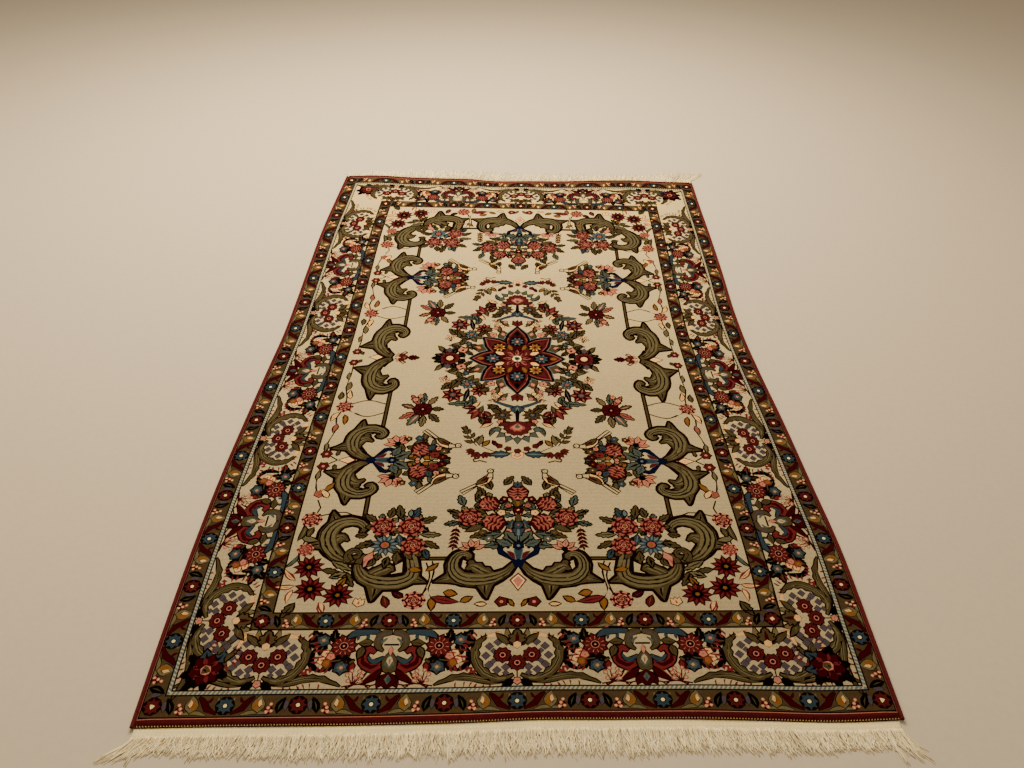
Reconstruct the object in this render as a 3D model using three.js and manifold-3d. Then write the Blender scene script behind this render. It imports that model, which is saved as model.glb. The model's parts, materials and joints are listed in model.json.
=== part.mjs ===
import * as THREE from 'three';
import { mergeVertices } from 'three/addons/utils/BufferGeometryUtils.js';
import Module from 'manifold-3d';

// A hand-knotted pile rug of the dozar size, lying flat, in millimetres.
// +X runs across the rug, +Y along it, +Z up. z = 0 is the surface it lies on.

// Driving dimensions
const HALF_WIDTH = 680;
const CLOTH_THICKNESS = 8;
const SELVEDGE_WIDTH = 8;
const SELVEDGE_HEIGHT = 8.4;
const SEWN_GAP = 0.3;
const WEB_WIDTH = 13;
const WEB_THICKNESS = 3;
const TOP_UNEVENNESS = 0.5;
const TOP_WAVE_ACROSS = 310;
const TOP_WAVE_ALONG = 430;
const LIFT_FADE = 240;

// Where the outer sides of the two selvedges run, from the front to the back
const SIDE_EDGES = [
  { y: -1085, left: -678, right: 680 },
  { y: -900, left: -687, right: 684 },
  { y: -700, left: -694, right: 687 },
  { y: -500, left: -696, right: 678 },
  { y: -300, left: -692, right: 669 },
  { y: -100, left: -686, right: 656 },
  { y: 50, left: -681, right: 649 },
  { y: 200, left: -682, right: 649 },
  { y: 400, left: -686, right: 657 },
  { y: 650, left: -690, right: 664 },
  { y: 900, left: -685, right: 668 },
  { y: 1090, left: -679, right: 672 },
];

// Where the knotted cloth ends in front and behind, and how far the back edge ripples off the floor
const END_EDGES = [
  { x: -680, front: -1084, back: 1086, lift: 1.0 },
  { x: -550, front: -1083, back: 1091, lift: 5.0 },
  { x: -420, front: -1083, back: 1084, lift: 2.0 },
  { x: -300, front: -1083, back: 1083, lift: 1.4 },
  { x: -210, front: -1082, back: 1083, lift: 1.6 },
  { x: -100, front: -1080, back: 1071, lift: 0.0 },
  { x: 20, front: -1076, back: 1077, lift: 0.2 },
  { x: 150, front: -1077, back: 1079, lift: 1.0 },
  { x: 300, front: -1078, back: 1087, lift: 4.0 },
  { x: 420, front: -1082, back: 1090, lift: 5.5 },
  { x: 550, front: -1087, back: 1088, lift: 4.0 },
  { x: 680, front: -1084, back: 1089, lift: 1.4 },
];

// How far the fringe locks reach past the web, and how far their tips lean sideways
const FRONT_LOCKS = [
  { x: -672, reach: 44, lean: -46 },
  { x: -640, reach: 34, lean: -22 },
  { x: -540, reach: 35, lean: -10 },
  { x: -370, reach: 44, lean: -5 },
  { x: -210, reach: 43, lean: 1 },
  { x: -40, reach: 45, lean: 5 },
  { x: 125, reach: 47, lean: 4 },
  { x: 300, reach: 43, lean: 9 },
  { x: 470, reach: 42, lean: 13 },
  { x: 600, reach: 36, lean: 10 },
  { x: 655, reach: 44, lean: 16 },
  { x: 674, reach: 62, lean: 40 },
];
const BACK_LOCKS = [
  { x: -672, reach: 34, lean: -10 },
  { x: -480, reach: 66, lean: -4 },
  { x: -290, reach: 84, lean: 8 },
  { x: -150, reach: 76, lean: 22 },
  { x: 0, reach: 76, lean: 16 },
  { x: 150, reach: 70, lean: 20 },
  { x: 310, reach: 64, lean: 14 },
  { x: 480, reach: 78, lean: 20 },
  { x: 620, reach: 94, lean: 34 },
  { x: 674, reach: 76, lean: 58 },
];

// One lock of fringe, a loose bundle of warp ends lying on the floor
const LOCK_PITCH = 9.6;
const LOCK_ROOT_WIDTH = 6.2;
const LOCK_TIP_WIDTH = 3.4;
const LOCK_ROOT_HEIGHT = 5.0;
const LOCK_TIP_HEIGHT = 2.2;
const LOCK_RIDGE = 0.55;
const LOCK_ROOT_DEPTH = 5;
const LOCK_BOW = 2.2;
const LOCK_REACH_SPREAD = 0.1;

// Mesh steps
const CLOTH_STEPS = { across: 22, along: 30 };
const SELVEDGE_STEPS = 30;
const LOCK_STEPS = 2;

const wool = new THREE.MeshStandardMaterial({ color: 0x6b3a2c, roughness: 0.95, metalness: 0 });
const overcastWool = new THREE.MeshStandardMaterial({ color: 0x8f1d1d, roughness: 0.9, metalness: 0 });
const cotton = new THREE.MeshStandardMaterial({ color: 0xe2d6ae, roughness: 0.95, metalness: 0 });

// A table's column as a smooth curve over its first column
function smoothColumn(rows, key, column) {
  const places = rows.map((row) => row[key]);
  const values = rows.map((row) => row[column]);
  const curve = new THREE.CubicInterpolant(places, values, 1);
  return (at) => {
    const inside = THREE.MathUtils.clamp(at, places[0], places[places.length - 1]);
    return curve.evaluate(inside)[0];
  };
}

const leftEdge = smoothColumn(SIDE_EDGES, 'y', 'left');
const rightEdge = smoothColumn(SIDE_EDGES, 'y', 'right');
const frontEdge = smoothColumn(END_EDGES, 'x', 'front');
const backEdge = smoothColumn(END_EDGES, 'x', 'back');
const backLift = smoothColumn(END_EDGES, 'x', 'lift');

// How far the cloth stands off the floor at a point: only near its rippled back edge
function liftAt(x, y) {
  const inFromBack = (backEdge(x) - y) / LIFT_FADE;
  const fade = 1 - THREE.MathUtils.smoothstep(inFromBack, 0, 1);
  return Math.max(backLift(x), 0) * fade;
}

// The slight waves of the pile's top
function topWave(x, y) {
  const across = Math.sin((2 * Math.PI * x) / TOP_WAVE_ACROSS + y / TOP_WAVE_ALONG);
  const along = Math.sin((2 * Math.PI * y) / TOP_WAVE_ALONG + x / TOP_WAVE_ACROSS);
  return TOP_UNEVENNESS * across * along;
}

// Moves every point of a box geometry by a rule on its place within the box
function shapeBox(steps, place) {
  const geometry = new THREE.BoxGeometry(1, 1, 1, steps.across, steps.along, steps.up);
  const points = geometry.attributes.position;
  for (let i = 0; i < points.count; i += 1) {
    const across = points.getX(i) + 0.5;
    const along = points.getY(i) + 0.5;
    const up = points.getZ(i) + 0.5;
    const moved = place(across, along, up);
    points.setXYZ(i, moved.x, moved.y, moved.z);
  }
  geometry.deleteAttribute('normal');
  geometry.deleteAttribute('uv');
  return mergeVertices(geometry, 0.001);
}

// A point of the knotted cloth, between the two selvedges and the two ends
function clothPoint(across, along) {
  const seam = SELVEDGE_WIDTH + SEWN_GAP;
  const column = THREE.MathUtils.lerp(-HALF_WIDTH, HALF_WIDTH, across);
  const y = THREE.MathUtils.lerp(frontEdge(column), backEdge(column), along);
  const x = THREE.MathUtils.lerp(leftEdge(y) + seam, rightEdge(y) - seam, across);
  return { x, y };
}

// The knotted cloth with its red end bands
function pileCloth() {
  return shapeBox({ across: CLOTH_STEPS.across, along: CLOTH_STEPS.along, up: 1 }, (across, along, up) => {
    const { x, y } = clothPoint(across, along);
    const height = CLOTH_THICKNESS + topWave(x, y);
    return { x, y, z: liftAt(x, y) + height * up };
  });
}

// A selvedge, the side cord overcast in wool: an eight-sided bar along the cloth's edge
function selvedge(edge, outward) {
  const column = HALF_WIDTH * outward;
  return shapeBox({ across: 2, along: SELVEDGE_STEPS, up: 2 }, (across, along, up) => {
    const y = THREE.MathUtils.lerp(frontEdge(column), backEdge(column), along);
    const atCorner = Math.abs(across - 0.5) > 0.4 && Math.abs(up - 0.5) > 0.4;
    const pullIn = atCorner ? 0.72 : 1;
    const middle = edge(y) - (outward * SELVEDGE_WIDTH) / 2;
    const x = middle + (across - 0.5) * SELVEDGE_WIDTH * pullIn;
    const z = liftAt(x, y) + SELVEDGE_HEIGHT * (0.5 + (up - 0.5) * pullIn);
    return { x, y, z };
  });
}

// The flat-woven cotton web at an end of the cloth; away is -1 in front and +1 behind
function web(away) {
  return shapeBox({ across: CLOTH_STEPS.across, along: 1, up: 1 }, (across, along, up) => {
    const end = clothPoint(across, away > 0 ? 1 : 0);
    const out = away > 0 ? along : 1 - along;
    const y = end.y + away * (SEWN_GAP + WEB_WIDTH * out);
    const lift = liftAt(end.x, end.y) * (1 - out);
    return { x: end.x, y, z: lift + WEB_THICKNESS * up };
  });
}

// One lock, level on the floor, from inside the web to its tip
function lock(edge, away, x, reach, lean, bow) {
  const root = edge(x) + away * (SEWN_GAP + WEB_WIDTH - LOCK_ROOT_DEPTH);
  const length = reach + LOCK_ROOT_DEPTH;
  return shapeBox({ across: 1, along: LOCK_STEPS, up: 1 }, (across, along, up) => {
    const out = away > 0 ? along : 1 - along;
    const width = THREE.MathUtils.lerp(LOCK_ROOT_WIDTH, LOCK_TIP_WIDTH, out);
    const height = THREE.MathUtils.lerp(LOCK_ROOT_HEIGHT, LOCK_TIP_HEIGHT, out);
    const ridge = up > 0.5 ? LOCK_RIDGE : 1;
    const sway = lean * out * out + bow * Math.sin(Math.PI * out);
    return {
      x: x + sway + (across - 0.5) * width * ridge,
      y: root + away * length * out,
      z: height * up,
    };
  });
}

const wasm = await Module();
wasm.setup();

function toSolid(geometry) {
  const vertProperties = new Float32Array(geometry.attributes.position.array);
  const triVerts = new Uint32Array(geometry.index.array);
  return new wasm.Manifold(new wasm.Mesh({ numProp: 3, vertProperties, triVerts }));
}

function toGeometry(solid) {
  const mesh = solid.getMesh();
  const geometry = new THREE.BufferGeometry();
  geometry.setAttribute('position', new THREE.BufferAttribute(mesh.vertProperties, 3));
  geometry.setIndex(new THREE.BufferAttribute(mesh.triVerts, 1));
  return geometry;
}

// The fringe of one end: the web with its locks fused to it at their roots
function fringe(edge, away, rows) {
  const reachAt = smoothColumn(rows, 'x', 'reach');
  const leanAt = smoothColumn(rows, 'x', 'lean');
  const first = clothPoint(0, away > 0 ? 1 : 0).x + LOCK_ROOT_WIDTH / 2;
  const last = clothPoint(1, away > 0 ? 1 : 0).x - LOCK_ROOT_WIDTH / 2;
  const count = Math.floor((last - first) / LOCK_PITCH);
  let solid = toSolid(web(away));
  for (let i = 0; i <= count; i += 1) {
    const x = THREE.MathUtils.lerp(first, last, i / count);
    const reach = reachAt(x) * (1 + LOCK_REACH_SPREAD * Math.sin(i * 2.4));
    const bow = LOCK_BOW * Math.sin(i / 5);
    solid = solid.add(toSolid(lock(edge, away, x, reach, leanAt(x), bow)));
  }
  return toGeometry(solid);
}

const rug = new THREE.Group();

function addPiece(name, geometry, material) {
  const mesh = new THREE.Mesh(geometry, material);
  mesh.name = name;
  rug.add(mesh);
}

addPiece('pile_cloth', pileCloth(), wool);
addPiece('selvedge_left', selvedge(leftEdge, -1), overcastWool);
addPiece('selvedge_right', selvedge(rightEdge, 1), overcastWool);
addPiece('fringe_front', fringe(frontEdge, -1, FRONT_LOCKS), cotton);
addPiece('fringe_back', fringe(backEdge, 1, BACK_LOCKS), cotton);

export default rug;
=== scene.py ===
import cmath
import json
import random
from contextlib import contextmanager
from math import cos, pi, radians, sin

import bmesh
import bpy
import numpy as np
from mathutils import Matrix, Vector
from mathutils.geometry import delaunay_2d_cdt

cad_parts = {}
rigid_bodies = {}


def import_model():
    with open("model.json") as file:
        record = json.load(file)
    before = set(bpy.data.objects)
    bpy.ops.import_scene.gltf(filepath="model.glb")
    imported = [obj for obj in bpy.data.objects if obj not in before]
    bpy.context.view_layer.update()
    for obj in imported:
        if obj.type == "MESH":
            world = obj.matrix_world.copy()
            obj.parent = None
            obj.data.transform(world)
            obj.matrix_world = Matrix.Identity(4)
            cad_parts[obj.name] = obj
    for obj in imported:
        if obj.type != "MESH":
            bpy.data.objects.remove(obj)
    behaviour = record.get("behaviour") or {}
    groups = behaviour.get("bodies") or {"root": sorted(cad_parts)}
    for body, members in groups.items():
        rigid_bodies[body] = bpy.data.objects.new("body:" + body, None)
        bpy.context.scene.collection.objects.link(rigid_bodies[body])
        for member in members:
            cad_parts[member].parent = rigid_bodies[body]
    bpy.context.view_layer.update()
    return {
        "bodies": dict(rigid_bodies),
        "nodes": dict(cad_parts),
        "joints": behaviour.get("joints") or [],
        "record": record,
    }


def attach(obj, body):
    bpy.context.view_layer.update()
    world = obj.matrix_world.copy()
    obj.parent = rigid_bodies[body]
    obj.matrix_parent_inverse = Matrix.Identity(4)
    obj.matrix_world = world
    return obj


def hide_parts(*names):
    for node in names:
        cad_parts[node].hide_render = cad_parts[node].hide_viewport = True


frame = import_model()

MM = 0.001

# The rug's own sizes in millimetres, as its solids have them
HALF_WIDTH = 675.0
HALF_LENGTH = 1085.0
CLOTH_THICKNESS = 8.0
SELVEDGE_WIDTH = 8.0
WEB_WIDTH = 13.0
PILE_HALF_WIDTH = HALF_WIDTH - SELVEDGE_WIDTH
LIFT_FADE = 240.0
# How much further in the pile ends at the front, where the web is wider than in the solids
FRONT_TUCK = 7.0

# The outer sides of the two selvedges and the middle of the design: y, left, right, middle
SIDES = (
    (-1085, -678, 680, -14),
    (-900, -687, 684, -14),
    (-700, -694, 687, -12),
    (-500, -696, 678, -14),
    (-300, -692, 669, -15),
    (-100, -686, 656, -16),
    (50, -681, 649, -16),
    (200, -682, 649, -16),
    (400, -686, 657, -14),
    (650, -690, 664, -10),
    (900, -685, 668, -4),
    (1090, -679, 672, -2),
)
# The two ends of the knotted cloth and the lift of its back edge: x, front, back, lift
ENDS = (
    (-680, -1084, 1086, 1.0),
    (-550, -1083, 1091, 5.0),
    (-420, -1083, 1084, 2.0),
    (-300, -1083, 1083, 1.4),
    (-210, -1082, 1083, 1.6),
    (-100, -1080, 1071, 0.0),
    (20, -1076, 1077, 0.2),
    (150, -1077, 1079, 1.0),
    (300, -1078, 1087, 4.0),
    (420, -1082, 1090, 5.5),
    (550, -1087, 1088, 4.0),
    (680, -1084, 1089, 1.4),
)

# The bands of the design, measured from its middle: field, inner guard, main border, rope, outer guard
ACROSS = {"field": 472, "inner": 508, "main": 619, "rope": 628, "guard": 664, "line": 667}
ALONG = {"field": 850, "inner": 889, "main": 1014, "rope": 1023, "guard": 1063, "line": 1067}

# The dyed yarns of the pile
YARNS = {
    "cream": "#baa983",
    "ivory": "#f9e5a2",
    "ink": "#120200",
    "wine": "#3c050b",
    "red": "#561b1c",
    "madder": "#6e2728",
    "coral": "#a1584a",
    "rose": "#c27e69",
    "peach": "#e6b77f",
    "gold": "#86592a",
    "olive": "#4e4228",
    "moss": "#6f6545",
    "earth": "#4e3e27",
    "green": "#000300",
    "sage": "#4f594e",
    "slate": "#324149",
    "sky": "#657676",
    "navy": "#0a0f28",
    "mauve": "#50464b",
}
COTTON = "#fdeebf"


def linear(code):
    """An sRGB hex colour as linear numbers"""
    parts = [int(code[i:i + 2], 16) / 255 for i in (1, 3, 5)]
    return [p / 12.92 if p <= 0.04045 else ((p + 0.055) / 1.055) ** 2.4 for p in parts] + [1.0]


def column(rows, index, at):
    """A table's column read smoothly at a place in its first column"""
    places = np.array([row[0] for row in rows], float)
    values = np.array([row[index] for row in rows], float)
    slopes = np.gradient(values, places)
    at = np.clip(at, places[0], places[-1])
    k = np.clip(np.searchsorted(places, at) - 1, 0, len(places) - 2)
    span = places[k + 1] - places[k]
    t = (at - places[k]) / span
    rise = values[k + 1] - values[k]
    bend_in = slopes[k] * span - rise
    bend_out = rise - slopes[k + 1] * span
    return values[k] + t * rise + t * (1 - t) * (bend_in * (1 - t) + bend_out * t)


def disc(r, n=8, at=0j):
    """A round spot"""
    return [at + cmath.rect(r, 2 * pi * k / n) for k in range(n)]


def lobed(r, lobes, depth=0.2, steps=3, turn=0.0):
    """A round flower outline with petals that meet in notches"""
    outline = []
    for k in range(lobes * steps):
        t = 2 * pi * k / (lobes * steps)
        notch = abs(sin(lobes * t / 2)) ** 2.5
        outline.append(cmath.rect(r * (1 - depth * notch), t + turn))
    return outline


def starry(r, points, inner):
    """A flower outline with pointed petals"""
    return [cmath.rect(r if k % 2 == 0 else r * inner, pi * k / points) for k in range(2 * points)]


def leaf(length, width, bend=0.0, steps=4, start=0j):
    """A pointed leaf along +X whose tip bends sideways"""
    upper, lower = [], []
    for k in range(1, steps):
        t = k / steps
        spine = start + complex(length * t, bend * t * t)
        ahead = cmath.exp(1j * cmath.phase(complex(length, 2 * bend * t)))
        side = 1j * ahead * width / 2 * sin(pi * t ** 0.85)
        upper.append(spine + side)
        lower.append(spine - side)
    return [start] + lower + [start + complex(length, bend)] + upper[::-1]


def width_at(widths, share):
    """A width read between the given ones at a share of the way along them"""
    at = share * (len(widths) - 1)
    low = min(int(at), len(widths) - 2)
    return widths[low] + (widths[low + 1] - widths[low]) * (at - low)


def unit(way):
    """A direction of length one"""
    return way / max(abs(way), 1e-9)


def smooth(points, steps=3):
    """Points along a smooth line through the given ones"""
    line = []
    for k in range(len(points) - 1):
        p0 = points[max(k - 1, 0)]
        p1, p2 = points[k], points[k + 1]
        p3 = points[min(k + 2, len(points) - 1)]
        for j in range(steps):
            t = j / steps
            line.append(0.5 * (2 * p1 + (p2 - p0) * t + (2 * p0 - 5 * p1 + 4 * p2 - p3) * t * t
                               + (3 * p1 - p0 - 3 * p2 + p3) * t ** 3))
    return line + [points[-1]]


def ribbon(points, widths, steps=3, teeth=0.0):
    """A band along a smooth line, its width read between the given widths, its left side toothed or even"""
    line = smooth([complex(*p) if isinstance(p, tuple) else p for p in points], steps)
    left, right = [], []
    for k, p in enumerate(line):
        ahead = line[min(k + 1, len(line) - 1)] - line[max(k - 1, 0)]
        side = unit(1j * ahead) * width_at(widths, k / (len(line) - 1)) / 2
        left.append(p + side * (1 + teeth * (k % 2)))
        right.append(p - side)
    return right + left[::-1]


def area(outline):
    """Twice the signed area of an outline"""
    return sum((p.conjugate() * q).imag for p, q in zip(outline, outline[1:] + outline[:1]))


# Two unit steps whose sum is shorter than this turn back at a point
SHARP_TURN = 0.35


def widen(outline, rim):
    """An outline moved outwards by a rim"""
    out = rim if area(outline) > 0 else -rim
    count = len(outline)
    wide = []
    for k, p in enumerate(outline):
        before = p - outline[k - 1]
        after = outline[(k + 1) % count] - p
        way = unit(before) + unit(after)
        if abs(way) < SHARP_TURN:
            wide.append(p + unit(before - after) * abs(out))
        else:
            wide.append(p - 1j * way / abs(way) * out)
    return wide


def spot(place, turn=0.0, size=1.0, flip=False):
    """A place, turn and size for a motif"""
    turned = cmath.rect(size, radians(turn))
    if flip:
        return lambda p: place + turned * p.conjugate()
    return lambda p: place + turned * p


class Cartoon:
    """The weaver's drawing: flat shapes of yarn, each over the ones before it"""

    def __init__(self):
        self.shapes = []
        self.frames = [lambda p: p]

    @contextmanager
    def copies(self, frames):
        """Draws what follows once in every given frame"""
        outer = self.frames
        self.frames = [lambda p, a=a, b=b: a(b(p)) for a in outer for b in frames]
        yield
        self.frames = outer

    def at(self, x, y, turn=0.0, size=1.0, flip=False):
        return self.copies([spot(complex(x, y), turn, size, flip)])

    def mirrored(self):
        """Draws what follows on both sides of the X axis"""
        return self.copies([spot(0j), spot(0j, flip=True)])

    def fill(self, yarn, outline):
        for place in self.frames:
            self.shapes.append((yarn, [place(p) for p in outline]))

    def edged(self, yarn, outline, edge="ink", rim=2.5):
        self.fill(edge, widen(outline, rim))
        self.fill(yarn, outline)

    def line(self, yarn, points, width=2.0, steps=3):
        self.fill(yarn, ribbon(points, [width, width], steps))


rug = Cartoon()


def rose(r, petal="coral", light="coral", deep="wine"):
    """A full rose seen from the front"""
    rug.edged(deep, lobed(r, 8, 0.16, 2), "ink", 2.4)
    for k in range(8):
        with rug.at(0, 0, 45 * k + 22):
            tip = [(r * 0.82, -r * 0.24), (r * 0.95, 0), (r * 0.82, r * 0.24)]
            rug.fill(petal, ribbon(tip, [r * 0.1, r * 0.22, r * 0.1], 2))
    rings = ((petal, 0.72, 7), (deep, 0.60, 7), (light, 0.50, 6), (deep, 0.36, 6), ("rose", 0.26, 5))
    for ring, (tone, size, petals) in enumerate(rings):
        rug.fill(tone, lobed(r * size, petals, 0.2, 2, 0.4 * ring))
    rug.fill("ink", disc(r * 0.16, 5))
    rug.fill("gold", disc(r * 0.09, 4))


def cabbage_rose(r, petal="coral", light="rose", deep="wine"):
    """A rose seen from the side, its petals in slanting lines"""
    rug.edged(deep, lobed(r, 7, 0.18, 3), "ink", 2.4)
    for row, reach in ((-0.62, 0.5), (-0.3, 0.78), (0.02, 0.88), (0.34, 0.76), (0.66, 0.44)):
        for side in (-1, 1):
            petal_line = [(row * r, side * 0.04 * r), ((row + 0.16) * r, side * reach * 0.5 * r),
                          ((row - 0.04) * r, side * reach * r)]
            rug.fill(petal, ribbon(petal_line, [r * 0.12, r * 0.22, r * 0.1], 2))
    rug.fill(light, leaf(r * 0.44, r * 0.2, 0, 3, start=0.42 * r))


def rayed(r, petal="red", ray="rose", heart="ink", lobes=8):
    """A round flower with light rays between its petals"""
    rug.edged(petal, lobed(r, lobes, 0.24), "ink", 2.5)
    for k in range(lobes):
        way = cmath.rect(1, 2 * pi * (k + 0.5) / lobes)
        rug.fill(ray, [0.38 * r * way, (0.8 * r + 0.05j * r) * way, (0.8 * r - 0.05j * r) * way])
    rug.fill(heart, disc(0.32 * r, 8))
    rug.fill("rose", disc(0.13 * r, 5))


def daisy(r, petal="red", ray="madder", heart="green", points=11):
    """A flower of many pointed petals"""
    rug.edged(petal, starry(r, points, 0.64), "ink", 2.4)
    for k in range(points):
        way = cmath.rect(1, 2 * pi * k / points)
        flank = 0.62 * r + 0.09j * r
        rug.fill(ray, [0.36 * r * way, flank.conjugate() * way, 0.92 * r * way, flank * way])
    rug.fill("ink", disc(0.4 * r, 8))
    rug.fill(heart, disc(0.3 * r, 7))
    rug.fill("gold", disc(0.16 * r, 5))


def posy(r, petal="red", heart="ivory", lobes=5, edge="ink"):
    """A small flower of round petals"""
    rug.edged(petal, lobed(r, lobes, 0.4), edge, 2.4)
    rug.fill(heart, disc(0.3 * r, 6))


def fan_lily(r, petal="peach", deep="coral", cup="green"):
    """A lily from the side, five petals spread along +X"""
    for turn in (-78, 78, -40, 40, 0):
        with rug.at(0, 0, turn):
            rug.edged(petal, leaf(r, r * 0.46, 0, 4, start=r * 0.12), "ink", 2.4)
            rug.fill(deep, leaf(r * 0.55, r * 0.14, 0, 3, start=r * 0.35))
    rug.edged(cup, disc(r * 0.26, 6), "ink", 1.2)


def tulip(r, petal="red", deep="wine"):
    """A closed flower opening along +X"""
    rug.edged(petal, [-0.2 * r + 0j, (0.2 - 0.62j) * r, (1.0 - 0.55j) * r, (0.72 - 0.2j) * r, 1.1 * r + 0j,
                      (0.72 + 0.2j) * r, (1.0 + 0.55j) * r, (0.2 + 0.62j) * r], "ink", 2.4)
    rug.fill(deep, leaf(r * 0.7, r * 0.3, 0, 3, start=0.05 * r))


def plain_leaf(length, width, bend=0.0, yarn="olive", vein="moss", edge="ink"):
    """A leaf with its mid vein"""
    rug.edged(yarn, leaf(length, width, bend, 4), edge, 3.0)
    rug.fill(vein, leaf(length * 0.8, width * 0.2, bend * 0.64, 3, start=length * 0.1))


def saw_leaf(length, width, yarn="olive", vein="green", edge="ink", pairs=3):
    """A leaf with toothed sides"""
    teeth = []
    for k in range(pairs * 2 + 1):
        t = k / (pairs * 2)
        half = width / 2 * sin(pi * (0.18 + 0.72 * t)) * (1.0 if k % 2 == 0 else 0.62)
        teeth.append(complex(length * (0.12 + 0.72 * t) + (length * 0.06 if k % 2 == 0 else 0), half))
    outline = [0j] + [p.conjugate() for p in teeth] + [complex(length, 0)] + teeth[::-1]
    rug.edged(yarn, outline, edge, 3.4)
    rug.fill(vein, leaf(length * 0.85, width * 0.24, 0, 3, start=length * 0.05))


def feather(length, yarn="olive", edge="ink", pairs=3, spread=1.0):
    """A leaf of separate fingers along a curved stem"""
    rug.line(edge, [(0, 0), (length * 0.5, length * 0.05), (length * 0.9, 0)], 2.4)
    for k in range(pairs):
        start = length * (0.18 + 0.24 * k)
        reach = length * (0.42 - 0.06 * k) * spread
        for side in (-1, 1):
            with rug.at(start, 0, side * (58 - 8 * k), flip=side < 0):
                rug.edged(yarn, leaf(reach, reach * 0.36, reach * -0.16, 3), edge, 2.4)
    with rug.at(length * 0.72, 0):
        rug.edged(yarn, leaf(length * 0.34, length * 0.13, 0, 3), edge, 2.4)


def berries(places, r=4.2, yarn="peach", edge="madder", stem="wine"):
    """Berries on thin stems from the origin"""
    for x, y in places:
        rug.line(stem, [(0, 0), (x * 0.55, y * 0.42), (x, y)], 2.2, 1)
    for x, y in places:
        rug.fill(edge, disc(r, 6, complex(x, y)))
        rug.fill(yarn, disc(r * 0.55, 5, complex(x, y)))


def spray(length, pairs=5, yarn="wine", edge="ink"):
    """A hanging spray of paired leaves with a curl at its end"""
    rug.line(edge, [(0, 0), (length * 0.5, 1), (length, 0)], 1.8)
    for k in range(pairs):
        for side in (-1, 1):
            with rug.at(length * (0.06 + 0.17 * k), 0, 28 * side, flip=side < 0):
                rug.fill(yarn, leaf(length * 0.26, length * 0.13, length * 0.06, 3))
    with rug.at(length * 0.86, 0):
        rug.fill(yarn, leaf(length * 0.2, length * 0.1, 0, 3))


def bird():
    """A long-tailed bird standing along +X, 112 mm from tail to beak"""
    for bend in (-3, 5):
        rug.edged("cream", ribbon([(-56, bend), (-34, bend * 0.6), (-8, 0)], [5, 5, 7]), "ink", 3.0)
    body = [-14 - 1j, -2 - 10j, 14 - 12j, 30 - 7j, 38 + 4j, 30 + 10j, 12 + 9j, -4 + 6j]
    rug.edged("peach", body, "ink", 3.2)
    rug.edged("olive", leaf(42, 15, 2, 4, start=-12 + 2j), "ink", 2.8)
    rug.fill("wine", leaf(26, 7, 1, 3, start=0 + 2j))
    rug.edged("cream", ribbon([(28, 0), (37, 8), (41, 14)], [13, 9, 7]), "ink", 3.2)
    rug.edged("cream", disc(6.4, 7, 43 + 16j), "ink", 3.2)
    rug.fill("wine", [48 + 19j, 57 + 14j, 47 + 13j])
    rug.fill("ink", disc(1.8, 4, 44 + 17j))
    for x in (12, 18):
        rug.line("ink", [(x, -10), (x + 3, -20)], 2.0, 1)


def flow_lines(body, widths, offsets, yarn, width):
    """Thin tapered lines that run along inside a scroll, at shares of its width from its middle"""
    middle = smooth([complex(*p) for p in body], 2)
    for offset in offsets:
        line = []
        for j in range(1, len(middle) - 1):
            ahead = middle[j + 1] - middle[j - 1]
            line.append(middle[j] + unit(1j * ahead) * width_at(widths, j / (len(middle) - 1)) * offset)
        rug.fill(yarn, ribbon(line, [0.6, width, width, 0.6], 1))


def thorn(length, width, bend):
    """The hooked point of a leaf, with hollow flanks, along +X"""
    return ribbon([(-8, 0), (length * 0.3, bend * 0.1), (length * 0.7, bend * 0.5), (length, bend)],
                  [width * 1.25, width * 0.7, width * 0.34, 0.8], 2)


def acanthus(body, widths, spikes, inner):
    """A scroll of acanthus leaf: a band with flow lines, hooked points, a curled head and an inner leaf"""
    outline = ribbon(body, widths, 3)
    inner_widths = [12, 23, 25, 17, 4]
    inner_outline = ribbon(inner, inner_widths, 3)
    lobes = []
    for before, middle, after in zip(inner, inner[1:], inner[2:]):
        ahead = complex(*after) - complex(*before)
        lobes.append(disc(8, 6, complex(*middle) - 9j * ahead / abs(ahead)))
    for shape, rim in [(inner_outline, 4.6), (outline, 6.0)] + [(lobe, 4.6) for lobe in lobes]:
        rug.fill("ink", widen(shape, rim))
    for x, y, turn, length, width, bend in spikes:
        with rug.at(x, y, turn):
            rug.fill("ink", widen(thorn(length, width, bend), 6.0))
    for lobe in lobes:
        rug.fill("olive", lobe)
    rug.fill("olive", inner_outline)
    flow_lines(inner, inner_widths, (-0.2, 0.18), "moss", 5.0)
    flow_lines(inner, inner_widths, (0.0,), "ink", 2.6)
    for x, y, turn, length, width, bend in spikes:
        with rug.at(x, y, turn):
            rug.fill("olive", thorn(length, width, bend))
            rug.fill("moss", leaf(length * 0.7, width * 0.3, bend * 0.5, 3))
            rug.fill("ink", leaf(length * 0.75, width * 0.12, bend * 0.6, 3, start=length * 0.1))
    rug.fill("olive", outline)
    flow_lines(body, widths, (0.3, 0.0, -0.3), "moss", 7.0)
    flow_lines(body, widths, (-0.15, 0.15, 0.42), "ink", 2.8)


def plant(rows):
    """Draws motifs from rows of: motif, x, y, turn, then the motif's own sizes and yarns"""
    for motif, x, y, turn, *sizes in rows:
        with rug.at(x, y, turn):
            motif(*sizes)


def foliage(rows):
    """Small leaves that stand out all round the large flowers of a bouquet"""
    for index, (motif, x, y, _, r, *_) in enumerate(rows):
        if motif in (rose, cabbage_rose, daisy, rayed):
            for k, yarn in enumerate(("olive", "green", "moss", "sage", "olive")):
                with rug.at(x, y, 72 * k + 23 * index):
                    with rug.at(r * 0.82, 0, 16 * (-1) ** k):
                        saw_leaf(r * 0.62, r * 0.52, yarn, "moss" if yarn == "green" else "green", pairs=2)


def quarters():
    """Draws what follows in all four quarters"""
    return rug.copies([lambda p: p, lambda p: -p.conjugate(), lambda p: p.conjugate(), lambda p: -p])


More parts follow.
